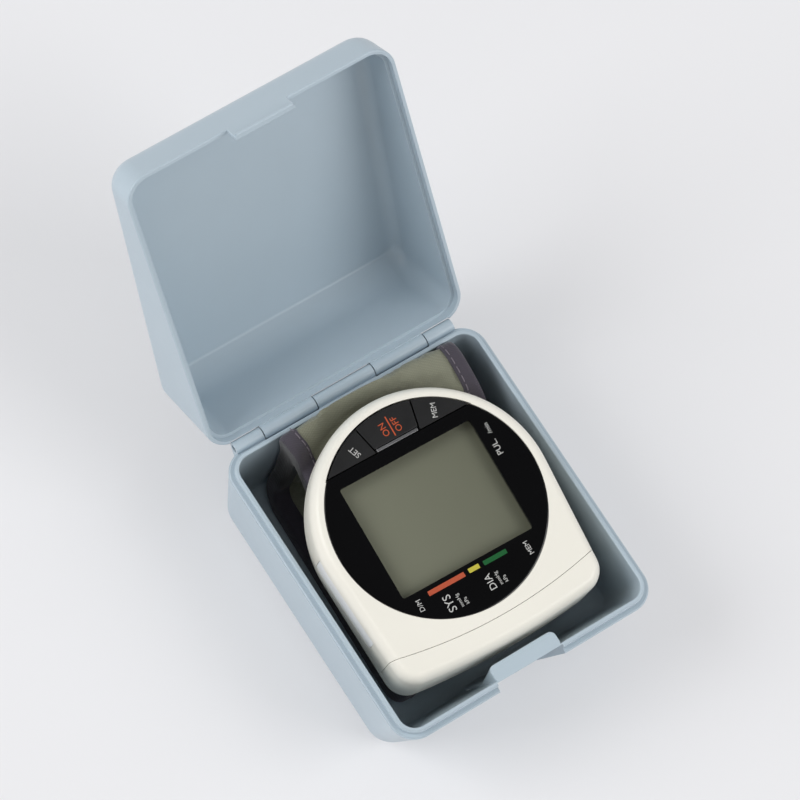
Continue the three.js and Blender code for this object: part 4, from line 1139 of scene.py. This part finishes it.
# The patch of hooks under the loop, and how the cloth may settle
hookPatch = {
    "length": 28, "sideRoom": 0.8, "seat": 0.95, "seatSpread": 1.2, "backing": 0.45, "above": 0.12,
    "softening": 0.12, "corner": 3, "edge": 1.2, "pitch": 1.25, "hookRadius": 0.26,
    "hookHeight": 0.42, "hookThickness": 0.09, "hookSunk": 0.02, "turned": 0.5, "dip": -1.6,
    "tipReach": 2.0, "tipDip": -0.35, "steps": 5, "sides": 4, "cornerSteps": 8,
}
cloth = {
    "scale": 10, "frames": 20, "quality": 6, "mass": 0.3, "stiffness": 12, "bending": 0.4,
    "pressure": 2.5, "spareCloth": 0.035, "crownMove": 1.1, "innerMove": 0.9, "caseMove": 0.18,
    "heldBelow": 0.05, "tapeFade": 3, "headFade": 2.5, "fade": 2, "crownAbove": 0.6,
    "underReach": 14,
}
stitch = {
    "length": 1.9, "pitch": 2.7, "radius": 0.16, "fromEdge": 0.75, "inset": -0.02, "steps": 6,
    "sides": 7, "colour": rgb(120, 112, 122),
}


# The loop's outline of (y, z), moved in by an inset: straight runs joined by round corners
def loopOutline(inset):
    corners = [(cuff["front"], cuff["bottom"]), (cuff["rear"], cuff["bottom"]),
               (cuff["rear"], cuff["topRear"]), (cuff["front"], cuff["topFront"])]
    normals = []
    for (py, pz), (qy, qz) in zip(corners, corners[1:] + corners[:1]):
        length = hypot(qy - py, qz - pz)
        normals.append(((qz - pz) / length, -(qy - py) / length))
    arcs = []
    for i, ((py, pz), radius, after) in enumerate(zip(corners, cuff["radii"], normals)):
        before = normals[i - 1]
        spread = 1 + before[0] * after[0] + before[1] * after[1]
        cy = py - radius * (before[0] + after[0]) / spread
        cz = pz - radius * (before[1] + after[1]) / spread
        start, end = atan2(before[1], before[0]), atan2(after[1], after[0])
        if end < start:
            end += 4 * quarter
        arcs.append(arcPoints(cy, cz, radius - inset, start, end, cuff["cornerSteps"]))
    points = []
    for bend, following, steps in zip(arcs, arcs[1:] + arcs[:1], cuff["runSteps"]):
        points += bend + pointsBetween(bend[-1], following[0], steps)
    return points


def topLine(y):
    share = (y - cuff["front"]) / (cuff["rear"] - cuff["front"])
    return cuff["topFront"] + share * (cuff["topRear"] - cuff["topFront"])


# Cuts the corners of an open line, which rounds it
def roundedLine(points, rounds):
    for _ in range(rounds):
        cutPoints = [points[0]]
        for (ay, az), (by, bz) in zip(points[:-1], points[1:]):
            cutPoints += [(0.75 * ay + 0.25 * by, 0.75 * az + 0.25 * bz),
                          (0.25 * ay + 0.75 * by, 0.25 * az + 0.75 * bz)]
        points = cutPoints + [points[-1]]
    return np.array(points)


def lengthsAlong(line):
    return np.concatenate([[0], np.cumsum(np.hypot(*np.diff(line, axis=0).T))])


def alongLine(line, shares):
    lengths = lengthsAlong(line)
    places = shares * lengths[-1]
    return np.column_stack([np.interp(places, lengths, line[:, axis]) for axis in (0, 1)])


# Where the monitor's round end stops at one x
def headEnd(x):
    headReach = housing["headRadius"] + crown["room"]
    return sqrt(max(0, headReach ** 2 - x ** 2)) + crown["behind"]


# The skin's way over the crown at one x, from low on the rear run to the flat top run
def crownLine(x):
    start, until = headEnd(x), crown["until"]
    before = start - crown["runIn"]
    rear = crown["rear"] + x * tan(radians(-stow["turn"]))
    return roundedLine([
        (cuff["rear"], crown["from"]),
        (rear, crown["from"] + crown["rise"]),
        (rear, crown["top"]),
        (start + (rear - start) / crown["bendShare"], crown["frontTop"]),
        (start, topLine(start)),
        (before, topLine(before)),
        (until, topLine(until)),
    ], crown["rounding"])


def loopRing(x, inset):
    outline, outer = np.array(loopOutline(inset)), np.array(loopOutline(0))
    swollen = outline.copy()
    run = [i for i, (y, z) in enumerate(outer) if y > crown["until"] and z > crown["from"]]
    lengths = lengthsAlong(outer[run])
    target = alongLine(crownLine(x), lengths / lengths[-1])
    share = min(1, (cuff["thickness"] - inset) / (cuff["thickness"] - crown["skin"]))
    swollen[run] += share * (target - outer[run])
    side = (x - cuff["left"]) / (cuff["right"] - cuff["left"])
    flare = crown["leftFlare"] * (1 - side) + crown["rightFlare"] * side
    start = headEnd(x)
    ring = []
    for (_, flatZ), (y, z) in zip(outline, swollen):
        moved = 0
        if y > crown["until"]:
            along = softStep((y - start + 1) / (crown["rear"] - start - 1))
            upward = softStep((z - cuff["topRear"] + crown["flareBelow"]) / crown["flareRise"])
            moved = flare * share * along * upward
        ring.append((x + cuff["lean"] * (flatZ - cuff["topRear"]) - moved, y, z))
    return ring


# The pad's cross-section: (x, inset) from the outer left edge round to the inner left edge
def padProfile():
    left, right = cuff["left"] + cuff["edgeIn"], cuff["right"] - cuff["edgeIn"]
    outer, inner = [], []
    for share in np.linspace(0, 1, cuff["acrossSteps"] + 1):
        x = left + (right - left) * share
        fromEdge = min(x - left, right - x) - (cuff["tapeWidth"] - cuff["edgeIn"]) + cuff["puffUnder"]
        puff = softStep(fromEdge / cuff["puffReach"])
        outer.append((x, cuff["underTape"] - cuff["puff"] * puff))
        inner.append((x, cuff["thickness"] - cuff["underTape"] + cuff["innerPuff"] * puff))
    return outer + inner[::-1]


# How far inside the edge tapes a point lies, with the cuff's lean taken out
def fromTape(x, z):
    flatX = x - cuff["lean"] * (z - cuff["topRear"])
    return min(flatX - cuff["left"], cuff["right"] - flatX) - cuff["tapeWidth"]


# The pad steps in where the hook patch is sewn on, under the loop's floor run
def padRing(x, inset):
    middle, spread = (cuff["front"] + cuff["rear"]) / 2, hookPatch["seatSpread"]
    ring = []
    for px, py, pz in loopRing(x, inset):
        if pz < cuff["bottom"] + cuff["thickness"] / 2:
            fromEnd = hookPatch["length"] / 2 + spread - abs(py - middle)
            fromSide = fromTape(px, pz) - hookPatch["sideRoom"] + spread
            pz += hookPatch["seat"] * (softStep(fromEnd / spread) * softStep(fromSide / spread))
        ring.append((px, py, pz))
    return ring


def makePad():
    return ringSurface("cuffPad", [padRing(x, inset) for x, inset in padProfile()], closed=True)


# How far the cloth may move: most on the crown, little against the case, none where it is held
def clothRoom(x, y, z):
    top, fade = topLine(y), cloth["fade"]
    fromHead = hypot(x, y - crown["behind"]) - housing["headRadius"] - crown["room"]
    onCrown = softStep((z - top - cloth["crownAbove"]) / fade) * softStep(fromHead / cloth["headFade"])
    depth = min(y - cuff["front"], cuff["rear"] - y, z - cuff["bottom"], top - z)
    inside = softStep((depth - cuff["thickness"] / 2) / fade)
    if y < crown["until"] + cloth["underReach"] and z > top - 1 and not inside:
        return 0
    against = 0 if onCrown else cloth["caseMove"]
    free = softStep(fromTape(x, z) / cloth["tapeFade"])
    return free * max(cloth["crownMove"] * onCrown, cloth["innerMove"] * inside, against)


# Cloth, blown up a little on a ten times larger copy, whose moves are capped and brought back
def swellPad(pad):
    flat = np.array([v.co for v in pad.data.vertices]) / mm
    room = np.array([clothRoom(*point) for point in flat])
    copy = duplicate(pad, "clothCopy")
    copy.data.transform(Matrix.Scale(cloth["scale"], 4))
    held = copy.vertex_groups.new(name="held")
    for i, space in enumerate(room):
        held.add([i], 1 if space < cloth["heldBelow"] else 0, "REPLACE")
    step = copy.modifiers.new("cloth", "CLOTH")
    settings = step.settings
    settings.quality = cloth["quality"]
    settings.mass = cloth["mass"]
    settings.tension_stiffness = settings.compression_stiffness = cloth["stiffness"]
    settings.shear_stiffness = cloth["stiffness"] / 3
    settings.bending_stiffness = cloth["bending"]
    settings.use_pressure = True
    settings.uniform_pressure_force = cloth["pressure"]
    settings.shrink_min = settings.shrink_max = -cloth["spareCloth"]
    settings.vertex_group_mass = "held"
    settings.effector_weights.gravity = 0
    step.collision_settings.use_collision = False
    step.point_cache.frame_start, step.point_cache.frame_end = 1, cloth["frames"]
    for frameNumber in range(1, cloth["frames"] + 1):
        scene.frame_set(frameNumber)
    bake(copy)
    swollen = np.array([v.co for v in copy.data.vertices]) / mm / cloth["scale"]
    bpy.data.objects.remove(copy)
    scene.frame_set(1)
    move = swollen - flat
    length = np.linalg.norm(move, axis=1) + 1e-9
    move *= (room * np.tanh(length / np.maximum(room, 1e-6)) / length)[:, None]
    for vertex, place in zip(pad.data.vertices, flat + move):
        vertex.co = place * mm
    print("cloth moved up to", round(float(np.linalg.norm(move, axis=1).max()), 2), "mm")


# A bound edge: a folded tape round the pad's edge, thin and rounded
def tapeProfile(side):
    edge = cuff["right"] if side > 0 else cuff["left"]
    thick, tape, width, bend = cuff["thickness"], cuff["tape"], cuff["tapeWidth"], cuff["tapeBend"]
    slope, lip = width - cuff["tapeEdgeIn"], cuff["tapeEdge"]
    path = [(width, lip), (slope, 0), (bend, 0)]
    steps = cuff["tapeBendSteps"] + 1
    upper, lower = [np.linspace(first, quarter, steps) for first in (cuff["tapeBendFrom"], 0)]
    path += [(bend - bend * sin(a), bend - bend * cos(a)) for a in upper]
    path += [(bend - bend * cos(a), thick - bend + bend * sin(a)) for a in lower]
    path += [(slope, thick), (width, thick - lip), (width, thick - tape), (bend, thick - tape),
             (tape, thick - bend), (tape, bend), (bend, tape), (width, tape)]
    return [(edge - side * x, inset) for x, inset in path][::side]


# The tape's inner side and end face get a painted shade, from a little inside its outer face inward, except
# on the run on the case's floor
def makeTape(name, side):
    profile = tapeProfile(side)
    rings = [loopRing(x, inset) for x, inset in profile]
    tape = ringSurface(name, rings, closed=True)
    paintedShade = tape.data.attributes.new("paintedShade", "FLOAT", "POINT")
    places = [(inset, z) for (_, inset), ring in zip(profile, rings) for _, _, z in ring]
    for item, (inset, z) in zip(paintedShade.data, places):
        above = softStep((z - cuff["bottom"] - cuff["shadeAbove"]) / cuff["shadeRise"])
        item.value = softStep((inset - cuff["shadeFrom"]) / cuff["shadeFade"]) * above
    return smooth(tape, cuff["tapeSmoothing"])


weaving = {
    "roughness": 0.92, "sheen": 0.25, "unevenness": 0.6, "warp": 2, "weft": 2.6, "cloudScale": 160,
    "clouds": (0.88, 1.1), "gaps": 0.86, "gapShare": (0.1, 0.6), "depth": 0.12,
}


def threads(tree, where, direction, scale):
    settings = {"wave_type": "BANDS", "bands_direction": direction}
    return addNode(tree, "ShaderNodeTexWave", settings, Vector=where, Scale=scale,
                   Distortion=weaving["unevenness"], Detail=1.0).outputs["Fac"]


def makeFabric(name, colour, threadScale=1500, strength=0.5, shadeColour=None):
    material, tree, shader, where = newMaterial(name, Roughness=weaving["roughness"], Sheen_Roughness=0.5,
                                                Sheen_Weight=weaving["sheen"])
    warp = threads(tree, where, "X", threadScale / weaving["warp"])
    weave = times(tree, warp, threads(tree, where, "DIAGONAL", threadScale / weaving["weft"]))
    clouds = between(tree, noise(tree, where, weaving["cloudScale"], 5, 0.6), 0, 1)
    mottled = blendColours(tree, clouds, *[shade(colour, amount) for amount in weaving["clouds"]])
    gaps = between(tree, weave, 0, 1, *weaving["gapShare"])
    woven = blendColours(tree, gaps, shade(colour, weaving["gaps"]), mottled)
    # Painted shade: where the tape's attribute is set, the colour goes towards near black
    if shadeColour:
        paintedShade = addNode(tree, "ShaderNodeAttribute", {"attribute_name": "paintedShade"}).outputs["Fac"]
        woven = blendColours(tree, paintedShade, woven, shadeColour)
    feed(shader, Base_Color=woven, Normal=bump(tree, weave, strength, weaving["depth"]))
    return material


# Geometry Nodes: short stitches of thread along a line
def makeStitchTree():
    tree, given = startTree("edgeStitches", {
        "Pitch": stitch["pitch"] * mm,
        "Length": stitch["length"] * mm,
        "Radius": stitch["radius"] * mm,
    })
    line = result(tree, "GeometryNodeMeshToCurve", Mesh=given["Geometry"])
    places = result(tree, "GeometryNodeResampleCurve", {"mode": "LENGTH"}, Curve=line, Length=given["Pitch"])
    tangent = result(tree, "GeometryNodeInputTangent")
    turn = result(tree, "FunctionNodeAlignRotationToVector", {"axis": "X"}, Vector=tangent)
    back, front = [times(tree, given["Length"], share) for share in (-0.5, 0.5)]
    bends = ((back, 0.0), (0.0, given["Radius"]), (front, 0.0))
    copies = copyWire(tree, places, turn, bends, stitch["steps"], given["Radius"], stitch["sides"])
    return finishTree(tree, copies, given["Material"])


# Geometry Nodes: rows of small hooks on a flat patch
def makeHookTree():
    tree, given = startTree("hookRows", {
        "Radius": hookPatch["hookRadius"] * mm,
        "Height": hookPatch["hookHeight"] * mm,
        "Thickness": hookPatch["hookThickness"] * mm,
    })
    turned = hookPatch["turned"]
    angle = addNode(tree, "FunctionNodeRandomValue", {"data_type": "FLOAT"}, i2=-turned, i3=turned, Seed=4)
    turn = result(tree, "ShaderNodeCombineXYZ", Z=angle.outputs[1])
    radius, height = given["Radius"], given["Height"]
    tip = (times(tree, radius, hookPatch["tipReach"]), times(tree, height, hookPatch["tipDip"]))
    bends = ((0.0, 0.0), (radius, times(tree, height, hookPatch["dip"])), tip)
    copies = copyWire(tree, given["Geometry"], turn, bends, hookPatch["steps"], given["Thickness"],
                      hookPatch["sides"])
    return finishTree(tree, copies, given["Material"])


def makeStitches(name, side, tree):
    edge = cuff["right"] if side > 0 else cuff["left"]
    points = loopRing(edge - side * (cuff["tapeWidth"] - stitch["fromEdge"]), stitch["inset"])
    return runTree(makeMesh(name, points, edges=turnsOf(len(points))), tree, threadNylon)


# The patch: a thin backing with its hooks, flat under the loop's floor run
def makeHookPatch():
    middle, half = (cuff["front"] + cuff["rear"]) / 2, hookPatch["length"] / 2
    shift = cuff["lean"] * (cuff["bottom"] - cuff["topRear"])
    side = cuff["tapeWidth"] + hookPatch["sideRoom"]
    left, right = cuff["left"] + side + shift, cuff["right"] - side + shift
    front, rear = middle - half, middle + half
    low = cuff["bottom"] + hookPatch["hookHeight"] + hookPatch["above"]
    outline = roundedRectangle(left, right, front, rear, hookPatch["corner"], hookPatch["cornerSteps"])
    plate = softenEdges(prism("hookPatch", outline, low, low + hookPatch["backing"]), hookPatch["softening"])
    pitch, edge = hookPatch["pitch"], hookPatch["edge"]
    across, along = np.arange(left + edge, right - edge, pitch), np.arange(front + edge, rear - edge, pitch)
    points = [(x + (k % 2) * pitch / 2, y, low + hookPatch["hookSunk"])
              for k, y in enumerate(along) for x in across[:-1]]
    return plate, runTree(makeMesh("hooks", points), makeHookTree(), hookNylon)


fabricCloth = makeFabric("cuffFabric", cuff["fabric"])
# The binding tape's material carries the painted shade colour for its inner side
bindingCloth = makeFabric("bindingTape", cuff["binding"], 2100, 0.4, cuff["insideShade"])
hookCloth = makeFabric("hookCloth", cuff["lining"], 1200, 0.6)
threadNylon = plastic("stitchThread", stitch["colour"], 0.55, grain=0.4, grainScale=4000, cloud=0.06)
hookNylon = plastic("hookNylon", cuff["lining"], 0.4, grain=0.2, cloud=0.08)

pad = makePad()
swellPad(pad)
pad = smooth(pad, cuff["padSmoothing"])
finishPiece(settle(pad, stowPlace), fabricCloth, "monitor", "cuff_fabric",
            "cuff_cover", "cuff_lining", "cuff_bladder")
stitches = makeStitchTree()
for tapeName, side in (("Left", -1), ("Right", 1)):
    tape = settle(makeTape("cuffBinding" + tapeName, side), stowPlace)
    finishPiece(tape, bindingCloth, "monitor", "edge_tape", "cuff_tape_" + tapeName.lower())
    seam = makeStitches("bindingStitches" + tapeName, side, stitches)
    finishPiece(settle(seam, stowPlace), threadNylon, "monitor", "edge_tape")
patch, bristles = makeHookPatch()
finishPiece(settle(patch, stowPlace), hookCloth, "monitor", "hook_tape", "cuff_hook_patch")
finishPiece(settle(bristles, stowPlace), hookNylon, "monitor", "hook_tape")
print("cuff made")


# Studio: pale floor, soft overhead light and the camera at the photograph's angle
studio = {
    "floorReach": 6000, "floorColour": rgb(232, 232, 234), "floorSeen": rgb(247, 247, 249),
    "floorShade": 0.985, "seenShare": 0.25, "airStrength": 0.5, "airColour": rgb(254, 254, 255),
    "glossHigh": rgb(14, 14, 15), "glossFrom": (0.4, 0.85), "keyPower": 20, "keySize": 1.2,
    "keyPlace": (-1.36, 0.79, 1.23), "fillPower": 16, "fillSize": 1.2,
    "fillPlace": (1.05, -1.05, 1.34), "cameraPlace": (-0.2863, -0.2253, 1.0775),
    "cameraTurn": (19.87439412, -5.91853199, -32.84788879), "lens": 194.1, "sensor": 36,
}


def makeFloor():
    reach = studio["floorReach"]
    corners = [(-reach, -reach, 0), (reach, -reach, 0), (reach, reach, 0), (-reach, reach, 0)]
    floor = makeMesh("floor", corners, [(0, 1, 2, 3)])
    material, tree, shader, where = newMaterial("floorPaper", Roughness=0.7)
    pale, darker = studio["floorColour"], shade(studio["floorColour"], studio["floorShade"])
    feed(shader, Base_Color=blendColours(tree, noise(tree, where, 3), darker, pale))
    glow = result(tree, "ShaderNodeEmission", Color=studio["floorSeen"], Strength=1.0)
    seen = addNode(tree, "ShaderNodeLightPath").outputs["Is Camera Ray"]
    mixed = result(tree, "ShaderNodeMixShader", i0=times(tree, seen, studio["seenShare"]),
                   i1=shader.outputs[0], i2=glow)
    feed(next(node for node in tree.nodes if node.type == "OUTPUT_MATERIAL"), Surface=mixed)
    floor.data.materials.append(material)


def makeLight(name, kind):
    data = bpy.data.lights.new(name, "AREA")
    data.energy = studio[kind + "Power"]
    data.size = studio[kind + "Size"]
    lamp = addObject(name, data)
    lamp.location = studio[kind + "Place"]
    lamp.rotation_euler = (-lamp.location).to_track_quat("-Z", "Y").to_euler()


# Even air; where gloss looks up, a dark ceiling
def makeAir():
    world = bpy.data.worlds.new("studioAir")
    scene.world = world
    world.use_nodes = True
    tree = world.node_tree
    direction = addNode(tree, "ShaderNodeTexCoord").outputs["Generated"]
    height = addNode(tree, "ShaderNodeSeparateXYZ", Vector=direction).outputs[2]
    isGloss = addNode(tree, "ShaderNodeLightPath").outputs["Is Glossy Ray"]
    glossUp = times(tree, between(tree, height, 0, 1, *studio["glossFrom"]), isGloss)
    feed(tree.nodes["Background"], Strength=studio["airStrength"],
         Color=blendColours(tree, glossUp, studio["airColour"], studio["glossHigh"]))


def makeStudio():
    makeFloor()
    makeAir()
    makeLight("keyLight", "key")
    makeLight("fillLight", "fill")
    data = bpy.data.cameras.new("camera")
    data.lens = studio["lens"]
    data.sensor_width = studio["sensor"]
    camera = addObject("camera", data)
    camera.location = studio["cameraPlace"]
    camera.rotation_euler = [radians(angle) for angle in studio["cameraTurn"]]
    scene.camera = camera
    scene.view_settings.view_transform = "Standard"


makeStudio()
print("studio ready")
